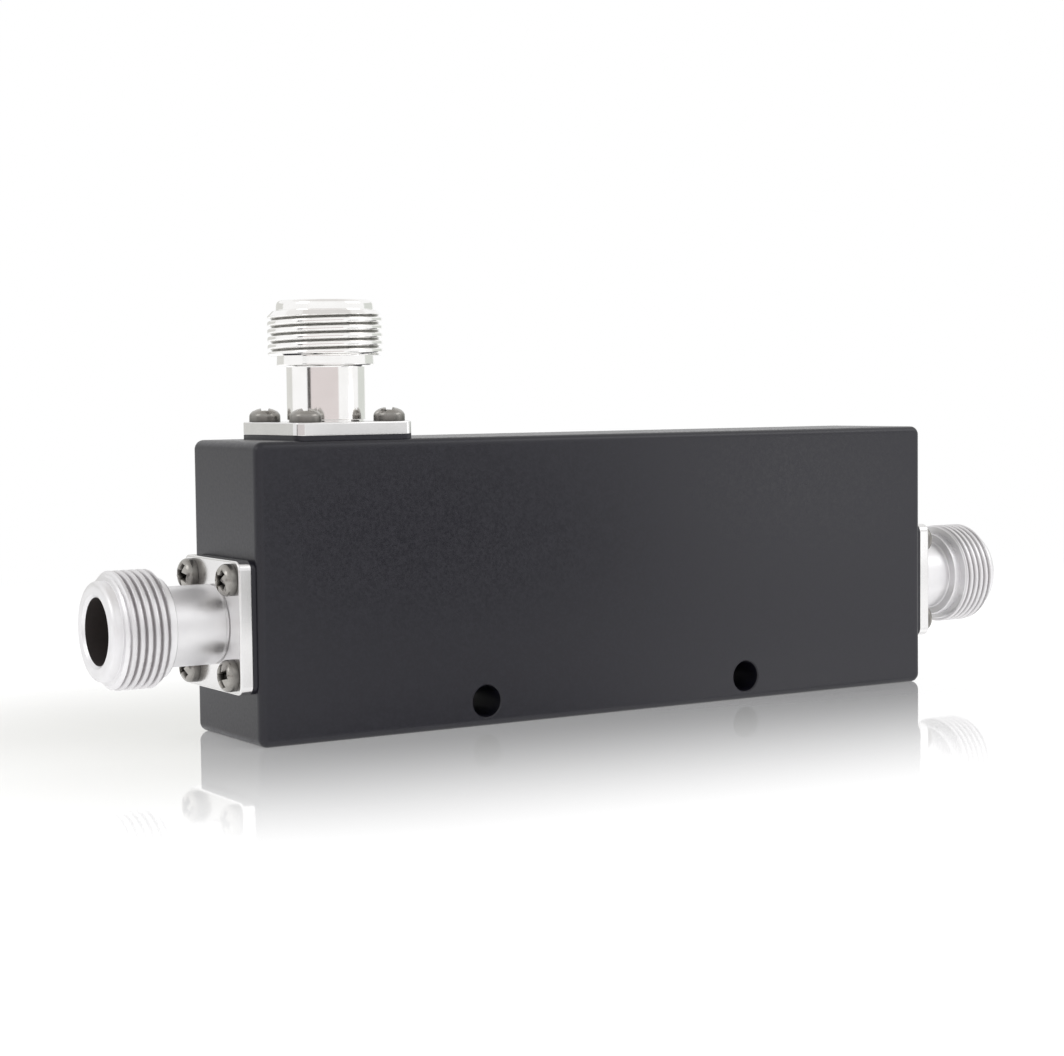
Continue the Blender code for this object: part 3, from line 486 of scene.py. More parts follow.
def add_node(
    tree: bpy.types.NodeTree,
    kind: str,
    inputs: tuple[object, ...] | dict[str | int, object] = (),
    **settings: object,
) -> bpy.types.Node:
    """Add a node with its settings and links.

    Args:
        tree: Tree that gets the node.
        kind: Type of the node, without the word that every type starts with.
        inputs: What each input gets, in order, by name or by number. It is a plain value, the output that
            feeds it, or a node, which stands for its first output.
        settings: Values of its properties.

    Returns:
        The node.
    """
    node = tree.nodes.new("ShaderNode" + kind)
    for name, value in settings.items():
        setattr(node, name, value)
    for key, value in (dict(enumerate(inputs)) if isinstance(inputs, tuple) else inputs).items():
        source = value.outputs[0] if isinstance(value, bpy.types.Node) else value
        if isinstance(source, bpy.types.NodeSocket):
            tree.links.new(source, node.inputs[key])
        else:
            node.inputs[key].default_value = source
    return node


def empty_finish(name: str) -> tuple[bpy.types.Material, bpy.types.NodeTree]:
    """Start a finish with no nodes.

    Args:
        name: Name of the finish.

    Returns:
        The material and its tree.
    """
    material = bpy.data.materials.new(name)
    material.use_nodes = True
    material.node_tree.nodes.clear()
    return material, material.node_tree


def close_finish(material: bpy.types.Material, inputs: dict[str, object]) -> bpy.types.Material:
    """Close a finish with the body that light meets.

    Args:
        material: The finish so far.
        inputs: What the body's colour, gloss and relief get.

    Returns:
        The same finish, ready to use.
    """
    tree = material.node_tree
    add_node(tree, "OutputMaterial", (add_node(tree, "BsdfPrincipled", inputs),))
    return material


@dataclass(frozen=True)
class PowderCoat:
    """Black fine-texture powder coat, sprayed dry on aluminium and baked.

    It gives the eye a near black with a soft satin sheen, broken by grains about half a millimetre across
    and by the slow waves of orange peel, with a trace of paler coat where it runs thin.

    Attributes:
        name: Name of the finish.
        colour: Colour of the coat.
        pale: Colour where the coat is thin.
        clouds: Clouds of film thickness for each metre.
        grain: Width of a grain.
        grain_height: Height of the grains.
        peel: Width of a wave of orange peel.
        peel_height: Height of the waves.
        roughness: Middle of its roughness.
        gloss_level: How strongly its skin mirrors, where 0.5 is a common plastic.
    """

    name: str = "black_powder_coat"
    colour: str = "#15141F"
    pale: str = "#1B1A25"
    clouds: float = 55.0
    grain: float = 0.00042
    grain_height: float = 0.0000025
    peel: float = 0.0017
    peel_height: float = 0.000003
    roughness: float = 0.34
    gloss_level: float = 0.5

    def material(self) -> bpy.types.Material:
        """Make the finish.

        Returns:
            The material.
        """
        material, tree = empty_finish(self.name)
        place = add_node(tree, "TexCoord").outputs["Object"]
        grain = add_node(tree, "TexNoise", {"Vector": place, "Scale": 1 / self.grain, "Detail": 2.0})
        peel = add_node(tree, "TexNoise", {"Vector": place, "Scale": 1 / self.peel, "Detail": 1.0})
        cloud = add_node(tree, "TexNoise", {"Vector": place, "Scale": self.clouds, "Detail": 3.0})
        speck = add_node(tree, "MapRange", (grain, 0.42, 0.72, 0.0, 0.8))
        thin = add_node(tree, "Math", (cloud, 0.45, speck), operation="MULTIPLY_ADD", use_clamp=True)
        pale = {0: thin, 6: linear(self.colour), 7: linear(self.pale)}
        colour = add_node(tree, "Mix", pale, data_type="RGBA")
        gloss = add_node(tree, "MapRange", (grain, 0.3, 0.7, self.roughness - 0.05, self.roughness + 0.07))
        waves = add_node(tree, "Bump", {"Strength": 1.0, "Distance": self.peel_height, "Height": peel})
        grains = {"Strength": 1.0, "Distance": self.grain_height, "Height": grain, "Normal": waves}
        return close_finish(
            material,
            {
                "Base Color": colour.outputs[2],
                "Roughness": gloss,
                "Normal": add_node(tree, "Bump", grains),
                "Specular IOR Level": self.gloss_level,
            },
        )


@dataclass(frozen=True)
class PlatedMetal:
    """Metal plate over a turned or milled part.

    It gives the eye the bright even tone of the plate, faint rings where the tool went round, slow clouds
    where the plate lies thicker, and painted shade down in the grooves of a thread. The real rings are about
    0.05 mm apart, which is too fine to show, so they are drawn twice as far apart.

    Attributes:
        name: Name of the finish.
        colour: Colour of the plate.
        shade: Colour where the plate lies thicker.
        roughness: Middle of its roughness.
        groove_shade_colour: Colour of the painted shade in the grooves.
        painted_shading: Depth in a groove at which the painted shade begins, and how dense it is at the root.
        ring_spacing: Distance between the turning rings.
        ring_height: Height of the rings.
        cloud: Width of a cloud.
    """

    name: str
    colour: str
    shade: str
    roughness: float
    groove_shade_colour: str = "#8B8983"
    painted_shading: tuple[float, float] = (0.78, 0.75)
    ring_spacing: float = 0.00011
    ring_height: float = 0.0000006
    cloud: float = 0.0035

    def material(self) -> bpy.types.Material:
        """Make the finish.

        Returns:
            The material.
        """
        material, tree = empty_finish(self.name)
        place = add_node(tree, "TexCoord").outputs["Object"]
        turning = add_node(tree, "Attribute", attribute_name=Mark.TURNING.value).outputs["Vector"]
        recess = add_node(tree, "Attribute", attribute_name=Mark.RECESS.value).outputs["Fac"]
        rings = add_node(tree, "TexNoise", {"Vector": turning, "Scale": 1 / self.ring_spacing, "Detail": 2.0})
        cloud = add_node(tree, "TexNoise", {"Vector": place, "Scale": 1 / self.cloud, "Detail": 3.0})
        thick = add_node(tree, "MapRange", (cloud, 0.35, 0.75, 0.0, 0.7))
        clouded = {0: thick, 6: linear(self.colour), 7: linear(self.shade)}
        plate = add_node(tree, "Mix", clouded, data_type="RGBA")
        # Painted shade: the plate turns towards a grey down in the grooves of a thread
        depths = (recess, self.painted_shading[0], 1.0, 0.0, self.painted_shading[1])
        painted_shading = add_node(tree, "MapRange", depths, interpolation_type="SMOOTHSTEP")
        with_painted_shade = {0: painted_shading, 6: plate.outputs[2], 7: linear(self.groove_shade_colour)}
        colour = add_node(tree, "Mix", with_painted_shade, data_type="RGBA")
        gloss = add_node(tree, "MapRange", (rings, 0.3, 0.7, self.roughness * 0.8, self.roughness * 1.25))
        relief = add_node(tree, "Bump", {"Strength": 1.0, "Distance": self.ring_height, "Height": rings})
        return close_finish(
            material,
            {"Base Color": colour.outputs[2], "Metallic": 1.0, "Roughness": gloss, "Normal": relief},
        )


@dataclass(frozen=True)
class ScrewPlate:
    """Nickel plate on cold-headed steel screws.

    It gives the eye a warm grey mirror, with the drawn lines of the header on the dome and painted shade
    down in the cross recess and round the seat, where the plate darkens to a near black.

    Attributes:
        name: Name of the finish.
        colour: Colour of the plate.
        shade: Colour of its duller clouds.
        painted_shade: Colour of the painted shade in the recess and round the seat.
        roughness: Roughness of the clean plate.
        clouds: Clouds for each metre.
        scratch: Width of a drawn line.
        scratch_height: Height of the drawn lines.
    """

    name: str = "nickel_on_steel"
    colour: str = "#C2BFBA"
    shade: str = "#A09D98"
    painted_shade: str = "#1A1816"
    roughness: float = 0.15
    clouds: float = 900.0
    scratch: float = 0.00012
    scratch_height: float = 0.0000008

    def material(self) -> bpy.types.Material:
        """Make the finish.

        Returns:
            The material.
        """
        material, tree = empty_finish(self.name)
        place = add_node(tree, "TexCoord").outputs["Object"]
        recess = add_node(tree, "Attribute", attribute_name=Mark.RECESS.value).outputs["Fac"]
        cloud = add_node(tree, "TexNoise", {"Vector": place, "Scale": self.clouds, "Detail": 2.0})
        drawn = add_node(tree, "TexNoise", {"Vector": place, "Scale": 1 / self.scratch, "Detail": 3.0})
        clouded = {0: cloud, 6: linear(self.colour), 7: linear(self.shade)}
        plate = add_node(tree, "Mix", clouded, data_type="RGBA")
        # Painted shade: the plate darkens and roughens down in the recess and round the seat
        painted_shading = add_node(tree, "MapRange", (recess, 0.02, 0.6, 0.0, 0.96))
        with_painted_shade = {0: painted_shading, 6: plate.outputs[2], 7: linear(self.painted_shade)}
        colour = add_node(tree, "Mix", with_painted_shade, data_type="RGBA")
        gloss = add_node(tree, "Math", (painted_shading, 0.3, self.roughness), operation="MULTIPLY_ADD", use_clamp=True)
        relief = add_node(tree, "Bump", {"Strength": 1.0, "Distance": self.scratch_height, "Height": drawn})
        return close_finish(
            material,
            {"Base Color": colour.outputs[2], "Metallic": 1.0, "Roughness": gloss, "Normal": relief},
        )


@dataclass(frozen=True)
class PlainBody:
    """A moulded, turned or fired body of one colour, such as a plastic bead or a ceramic chip; it also gives
    the dark painted shade of the bores.

    It gives the eye a quiet even colour with a slight cloud, and fine tool or mould marks in its gloss.

    Attributes:
        name: Name of the finish.
        colour: Colour of the body.
        shade: Colour of its clouds.
        roughness: Middle of its roughness.
        clouds: Clouds for each metre.
        mark: Width of a tool or mould mark.
        mark_height: Height of the marks.
        subsurface: Share of light that goes into the body and out again.
        depth: How far that light travels.
        gloss_level: How strongly its skin mirrors, where 0.5 is a common plastic.
    """

    name: str
    colour: str
    shade: str
    roughness: float
    clouds: float = 350.0
    mark: float = 0.0002
    mark_height: float = 0.000002
    subsurface: float = 0.0
    depth: float = 0.0006
    gloss_level: float = 0.5

    def material(self) -> bpy.types.Material:
        """Make the finish.

        Returns:
            The material.
        """
        material, tree = empty_finish(self.name)
        place = add_node(tree, "TexCoord").outputs["Object"]
        cloud = add_node(tree, "TexNoise", {"Vector": place, "Scale": self.clouds, "Detail": 3.0})
        marks = add_node(tree, "TexNoise", {"Vector": place, "Scale": 1 / self.mark, "Detail": 2.0})
        clouded = {0: cloud, 6: linear(self.colour), 7: linear(self.shade)}
        colour = add_node(tree, "Mix", clouded, data_type="RGBA")
        gloss = add_node(tree, "MapRange", (marks, 0.3, 0.7, self.roughness * 0.88, self.roughness * 1.12))
        relief = add_node(tree, "Bump", {"Strength": 1.0, "Distance": self.mark_height, "Height": marks})
        return close_finish(
            material,
            {
                "Base Color": colour.outputs[2],
                "Roughness": gloss,
                "Subsurface Weight": self.subsurface,
                "Subsurface Scale": self.depth,
                "Specular IOR Level": self.gloss_level,
                "Normal": relief,
            },
        )


@dataclass(frozen=True)
class Finishes:
    """Every finish of the coupler, made once and shared.

    Attributes:
        coat: Powder coat of the housing and its cover.
        silver: Bright silver plate, polished before plating, on the coupled socket.
        satin: Satin silver plate over a plain turned part, on the input and output sockets.
        flange: Silver plate over a fine milled face.
        line: Silver plate of the lines inside.
        gold: Gold over nickel, on the contacts.
        screw: Nickel plate of the screws.
        bore: Painted shade in the bores, a dark finish on the bore walls in place of their silver plate.
        bead: White fluoropolymer of the beads and the combs.
        ceramic: Fired ceramic chip of the load.
    """

    coat: bpy.types.Material
    silver: bpy.types.Material
    satin: bpy.types.Material
    flange: bpy.types.Material
    line: bpy.types.Material
    gold: bpy.types.Material
    screw: bpy.types.Material
    bore: bpy.types.Material
    bead: bpy.types.Material
    ceramic: bpy.types.Material

    @classmethod
    def mixed(cls) -> Finishes:
        """Make every finish.

        Returns:
            The finishes.
        """
        # Painted shade in the thread's grooves: where it begins, how dense it is at the root, and its grey
        bright_groove_shade, satin_groove_shade = (0.76, 0.85), (0.25, 0.8)
        return cls(
            coat=PowderCoat().material(),
            silver=PlatedMetal(
                "bright_silver_plate", "#FAF9F8", "#F2F1EF", 0.11, "#807F7A", bright_groove_shade
            ).material(),
            satin=PlatedMetal(
                "satin_turned_silver_plate", "#ECEBEC", "#E2E1E3", 0.42, "#BBB8B9", satin_groove_shade
            ).material(),
            flange=PlatedMetal("milled_silver_plate", "#E7E6E6", "#DFDEDD", 0.15).material(),
            line=PlatedMetal("satin_silver_plate", "#DEDBD5", "#CFCBC4", 0.32).material(),
            gold=PlatedMetal("gold_plate", "#E9BE6B", "#D9A956", 0.2).material(),
            screw=ScrewPlate().material(),
            # Painted shade: the bore walls take this dark finish in place of their silver plate
            bore=PlainBody("painted_shade_bore", "#464140", "#4D4746", 0.7, gloss_level=0.2).material(),
            bead=PlainBody("white_fluoropolymer", "#ECECE8", "#E1E1DC", 0.42, subsurface=0.25).material(),
            ceramic=PlainBody("fired_ceramic", "#D8D8CF", "#C9C9BF", 0.35).material(),
        )

    def for_slot(self, slot: Slot) -> bpy.types.Material:
        """Give the finish that a slot of the record stands for.

        Args:
            slot: The slot.

        Returns:
            Its finish.
        """
        return {
            Slot.BLACK_COAT: self.coat,
            Slot.SILVER_PLATE: self.satin,
            Slot.NICKEL_PLATE: self.screw,
            Slot.GOLD_PLATE: self.gold,
            Slot.WHITE_BEAD: self.bead,
            Slot.LOAD_CERAMIC: self.ceramic,
            Slot.LINE_SILVER: self.line,
        }[slot]


# Pieces


@dataclass(frozen=True)
class ScrewHead:
    """A screw with a cross recess, turned up from its shank to its head.

    Attributes:
        diameter: Diameter of the head.
        side: Height of the upright side.
        dome: Height of the dome over it. 0 makes a flat head.
        shank: Diameter of the shank.
        length: Length under the head.
        cone: Height of the cone under a countersunk head. 0 makes a flat seat.
        spokes: Length of each pair of spokes of the recess.
        spoke_width: Width of a spoke.
        recess_depth: Depth of the recess at its middle.
        rise: Share of that depth by which its floor rises to the ends of the spokes.
        steepness: Slope of the walls of the recess, as depth over distance.
        painted_shade: How dark the painted shade is at the seat, where 0 is none and 1 is as dark as the
            recess at its middle.
        rows: Rings of points over the head.
        columns: Points round the head.
    """

    diameter: float
    side: float
    dome: float
    shank: float
    length: float
    cone: float
    spokes: float
    spoke_width: float
    recess_depth: float
    rise: float = 0.35
    steepness: float = 4.0
    painted_shade: float = 0.5
    rows: int = 44
    columns: int = 96

    def surface(self) -> Surface:
        """Make the screw with its seat, or the top of its flat head, at the origin.

        The head's height at radius r is side + dome * sqrt(1 - (r / R) squared). A point at u and v is inside
        the cross by d, the greater of min(w - |u|, s - |v|) and min(w - |v|, s - |u|) with w half a spoke's
        width and s half its length. It is sunk by steepness times d, but no deeper than depth * (1 - rise *
        r / s). The mark is the share of the depth, plus painted shade that grows from the crown down to the
        seat.

        Returns:
            The shape, with the mark for its painted shade on its points.
        """
        edge = self.diameter / 2
        angle = np.linspace(0.0, math.pi / 2, self.rows)
        radius = edge * np.sin(angle) if self.dome else edge * np.linspace(0.0, 1.0, self.rows)
        turn = 2 * math.pi * np.arange(self.columns) / self.columns
        u, v = np.abs(radius[:, None] * np.cos(turn)), np.abs(radius[:, None] * np.sin(turn))
        half, spoke = self.spoke_width / 2, self.spokes / 2
        inside = np.maximum(np.minimum(half - u, spoke - v), np.minimum(half - v, spoke - u))
        floor = self.recess_depth * (1 - self.rise * np.minimum(radius[:, None] / spoke, 1.0))
        sunk = np.clip(np.minimum(self.steepness * inside, floor), 0.0, None)
        top = self.side + self.dome * np.sqrt(np.clip(1 - (radius / edge) ** 2, 0.0, 1.0))
        low, neck, soft = -self.cone, self.shank / 2, 0.00005
        under = rounded_profile(
            [
                (edge, self.side * 0.9, 0.0),
                (edge, self.side * 0.5, 0.0),
                (edge, 0.0, soft),
                (neck, low, soft),
                (neck, low - self.length, 4 * soft),
                (0.0, low - self.length, 0.0),
            ],
            3,
        )
        radii = np.concatenate([radius, under[:, 0]])
        heights = np.concatenate([top, under[:, 1]])
        shape = revolved(radii, heights, self.columns)
        drop = np.zeros((len(radii), self.columns))
        drop[: len(radius)] = sunk
        shape.points[:, 2] -= drop.ravel()
        # Painted shade that grows from the crown down to the seat, added to the mark
        seat = self.painted_shade * np.clip((heights.max() - heights) / (self.side + self.dome + 2 * soft), 0.0, 1.0)
        shape.marks = {Mark.RECESS: (drop / self.recess_depth + seat[:, None]).ravel()}
        return shape


def add_screws(
    names: tuple[str, str],
    screw: Surface,
    seats: Sequence[Matrix],
    turns: Sequence[float],
    finish: bpy.types.Material,
) -> None:
    """Put one screw into the scene for each seat, tightened as far as its turn says.

    Args:
        names: Names of the pieces and of the nodes, with a pair of braces for the number.
        screw: Shape of the screw, at the origin.
        seats: Where each screw sits, in the order of the nodes.
        turns: How far each screw was tightened, in degrees.
        finish: Finish of the screws.
    """
    for number, (seat, angle) in enumerate(zip(seats, turns), start=1):
        piece, node = (name.format(number) for name in names)
        turned = screw.moved(seat @ Matrix.Rotation(math.radians(angle), 4, "Z"))
        add_piece(piece, turned, [finish], [node])


@dataclass(frozen=True)
class Layout:
    """Sizes of the coupler that its pieces share, the same as in the solids.

    Attributes:
        length: Length of the housing.
        height: Height of the housing.
        depth: Depth of the housing.
        standoff: Height of the pads, up to the backs of the flanges.
        axis_y: Where the sockets' axes lie from front to back.
        main_height: Height of the main line.
        coupled_x: Where the coupled socket stands.
    """

    length: float = 0.115
    height: float = 0.0405
    depth: float = 0.0205
    standoff: float = 0.0006
    axis_y: float = -0.00065
    main_height: float = 0.016
    coupled_x: float = -0.0422

    @property
    def front(self) -> float:
        """Give the place of the front face."""
        return -self.depth / 2

    @property
    def back(self) -> float:
        """Give the place of the back face."""
        return self.depth / 2

    def port(self, port: Port) -> Matrix:
        """Give the matrix that carries a socket from the origin to its place.

        Args:
            port: Which socket.

        Returns:
            The matrix, with its third axis pointing out of the housing.
        """
        reach = self.length / 2 + self.standoff
        places = {
            Port.INPUT: (Vector((-reach, self.axis_y, self.main_height)), Vector((-1.0, 0.0, 0.0))),
            Port.OUTPUT: (Vector((reach, self.axis_y, self.main_height)), Vector((1.0, 0.0, 0.0))),
            Port.COUPLED: (
                Vector((self.coupled_x, self.axis_y, self.height + self.standoff)),
                Vector((0.0, 0.0, 1.0)),
            ),
        }
        place, outward = places[port]
        return Matrix.Translation(place) @ facing(outward)


@dataclass(frozen=True)
class Housing:
    """The black box: a milled block with a cavity, pads for the flanges and two mounting holes.

    Attributes:
        layout: Shared sizes.
        finishes: Shared finishes.
        corner: Corner radius seen from the front.
        edge: Radius of the long soft edges round the front and back faces.
        mount_diameter: Diameter of the mounting holes.
        mount_spacing: Distance between them.
        mount_height: Height of their axes.
        rim_break: Width of the broken rims of the mounting holes.
        cavity: Left, right, low and high walls of the cavity.
        cavity_corner: Corner radius of the cavity.
        cavity_front: Where the cavity's floor lies, behind the front face.
        ledge: Left, right, low and high walls of the recess for the cover.
        ledge_corner: Corner radius of that recess.
        ledge_front: Where the ledge that the cover rests on lies.
        pad_width: Width of the square pads.
        pad_corner: Corner radius of the pads.
        socket_bore: Diameter of the holes for the beads.
        bore_reach: How far those holes reach in from the pads, into the cavity.
    """

    layout: Layout
    finishes: Finishes
    corner: float = 0.0013
    edge: float = 0.0009
    mount_diameter: float = 0.0045
    mount_spacing: float = 0.0454
    mount_height: float = 0.0035
    rim_break: float = 0.00018
    cavity: tuple[float, float, float, float] = (-0.0505, 0.0505, 0.012, 0.0335)
    cavity_corner: float = 0.003
    cavity_front: float = -0.00725
    ledge: tuple[float, float, float, float] = (-0.056, 0.056, 0.0065, 0.039)
    ledge_corner: float = 0.0025
    ledge_front: float = 0.00825
    pad_width: float = 0.0178
    pad_corner: float = 0.0013
    socket_bore: float = 0.0076
    bore_reach: float = 0.009

    def pads(self) -> Surface:
        """Make the three low pads that the flanges sit on, reaching into the block.

        Returns:
            The pads as one shape.
        """
        half = self.pad_width / 2
        low = -self.layout.standoff - CUT_MARGIN
        pad = Slab(-half, half, -half, half, low, 0.0, self.pad_corner).surface()
        return joined([pad.moved(self.layout.port(port)) for port in Port])

    def mounting_drills(self) -> Surface:
        """Make the bars that cut the two mounting holes, with their rims broken.

        Returns:
            The bars as one shape.
        """
        bars = []
        for side in (-1.0, 1.0):
            x = side * self.mount_spacing / 2
            start = Vector((x, self.layout.front, self.mount_height))
            end = Vector((x, self.layout.back, self.mount_height))
            bars.append(drill(start, end, self.mount_diameter, self.rim_break))
        return joined(bars)

    def socket_drills(self) -> Surface:
        """Make the bars that cut the three holes for the beads.

        Returns:
            The bars as one shape.
        """
        bars = []
        for port in Port:
            inner, outer = (
                self.layout.port(port) @ Vector((0, 0, height)) for height in (-self.bore_reach, CUT_MARGIN)
            )
            bars.append(drill(inner, outer, self.socket_bore))
        return joined(bars)

    def build(self) -> None:
        """Make the housing and put it in the scene."""
        layout = self.layout
        end, behind = layout.length / 2, layout.back + CUT_MARGIN
        block = Slab(
            -end, end, 0.0, layout.height, layout.front, layout.back, self.corner, self.edge, self.edge
        )
        hollow = Slab(*self.cavity, self.cavity_front, behind, self.cavity_corner)
        step = Slab(*self.ledge, self.ledge_front, behind, self.ledge_corner)
        shape = carved(
            block.surface().moved(UPRIGHT),
            [
                ("UNION", self.pads()),
                ("DIFFERENCE", hollow.surface().moved(UPRIGHT)),
                ("DIFFERENCE", step.surface().moved(UPRIGHT)),
                ("DIFFERENCE", self.mounting_drills()),
                ("DIFFERENCE", self.socket_drills()),
            ],
        )
        add_piece("housing_coated", shape, [self.finishes.coat], ["housing"])


@dataclass(frozen=True)
class RearCover:
    """The cover plate in the back of the housing, with its ten countersunk screws.

    Attributes:
        layout: Shared sizes.
        finishes: Shared finishes.
        outline: Left, right, low and high edges of the plate.
        thickness: Thickness of the plate.
        corner: Corner radius.
        edge: Radius of the outer edge.
        columns: Where the screws stand along the plate.
        rows: Heights of the bottom row, the middle and the top row of screws.
        head: Diameter of a screw's head.
        shank: Diameter of its shank.
        land: Height of the short upright rim of its head.
        screw_length: Length of the whole screw.
        sink: How far the heads lie below the plate.
        head_play: Clearance round the heads.
        shank_play: Clearance round the shanks.
        turns: How far each screw was tightened, in degrees.
    """

    layout: Layout
    finishes: Finishes
    outline: tuple[float, float, float, float] = (-0.05585, 0.05585, 0.00665, 0.03885)
    thickness: float = 0.002
    corner: float = 0.00235
    edge: float = 0.0002
    columns: tuple[float, float, float, float] = (-0.0528, -0.0176, 0.0176, 0.0528)
    rows: tuple[float, float, float] = (0.0097, 0.02275, 0.0358)
    head: float = 0.0038
    shank: float = 0.002
    land: float = 0.0002
    screw_length: float = 0.005
    sink: float = 0.0001
    head_play: float = 0.00008
    shank_play: float = 0.0001
    turns: tuple[float, ...] = (12, 58, 31, 77, 5, 44, 69, 23, 52, 84)

    def places(self) -> list[Matrix]:
        """List where each screw is on the back face, pointing out of it, in the order of the nodes.

        Returns:
            One matrix for each screw, at the middle of its head.
        """
        low, middle, high = self.rows
        spots = [(x, high) for x in self.columns] + [(x, low) for x in self.columns]
        spots += [(self.columns[0], middle), (self.columns[-1], middle)]
        outward = facing(Vector((0.0, 1.0, 0.0)))
        return [Matrix.Translation((x, self.layout.back, z)) @ outward for x, z in spots]

    def countersinks(self) -> Surface:
        """Make the cones that cut a seat for each screw.

        Returns:
            The cones as one shape.
        """
        outer, inner = self.head / 2 + self.head_play, self.shank / 2 + self.shank_play
        land, through = self.sink + self.land, self.thickness + CUT_MARGIN
        profile = np.array(
            [
                (0.0, CUT_MARGIN),
                (outer, CUT_MARGIN),
                (outer, -land),
                (inner, -land - (outer - inner)),
                (inner, -through),
                (0.0, -through),
            ]
        )
        cone = revolved(profile[:, 0], profile[:, 1], 48)
        return joined([cone.moved(place) for place in self.places()])

    def screw(self) -> ScrewHead:
        """Give the sizes of a cover screw.

        Returns:
            The screw, not built yet.
        """
        cone = self.head / 2 - self.shank / 2
        return ScrewHead(
            diameter=self.head,
            side=self.land,
            dome=0.0,
            shank=self.shank,
            length=self.screw_length - self.land - cone,
            cone=cone,
            spokes=0.0022,
            spoke_width=0.0005,
            recess_depth=0.0008,
            rows=36,
            columns=80,
        )

    def build(self) -> None:
        """Make the plate and its screws and put them in the scene."""
        front, back = self.layout.back - self.thickness, self.layout.back
        plate = Slab(*self.outline, front, back, self.corner, 0.0, self.edge, edge_steps=3)
        shape = carved(plate.surface().moved(UPRIGHT), [("DIFFERENCE", self.countersinks())])
        add_piece("rear_cover_coated", shape, [self.finishes.coat], ["rear_cover"])
        down = Matrix.Translation((0.0, 0.0, -self.sink - self.land))
        seats = [place @ down for place in self.places()]
        names = ("cover_screw_{}_cut", "cover_screw_{}")
        add_screws(names, self.screw().surface(), seats, self.turns, self.finishes.screw)


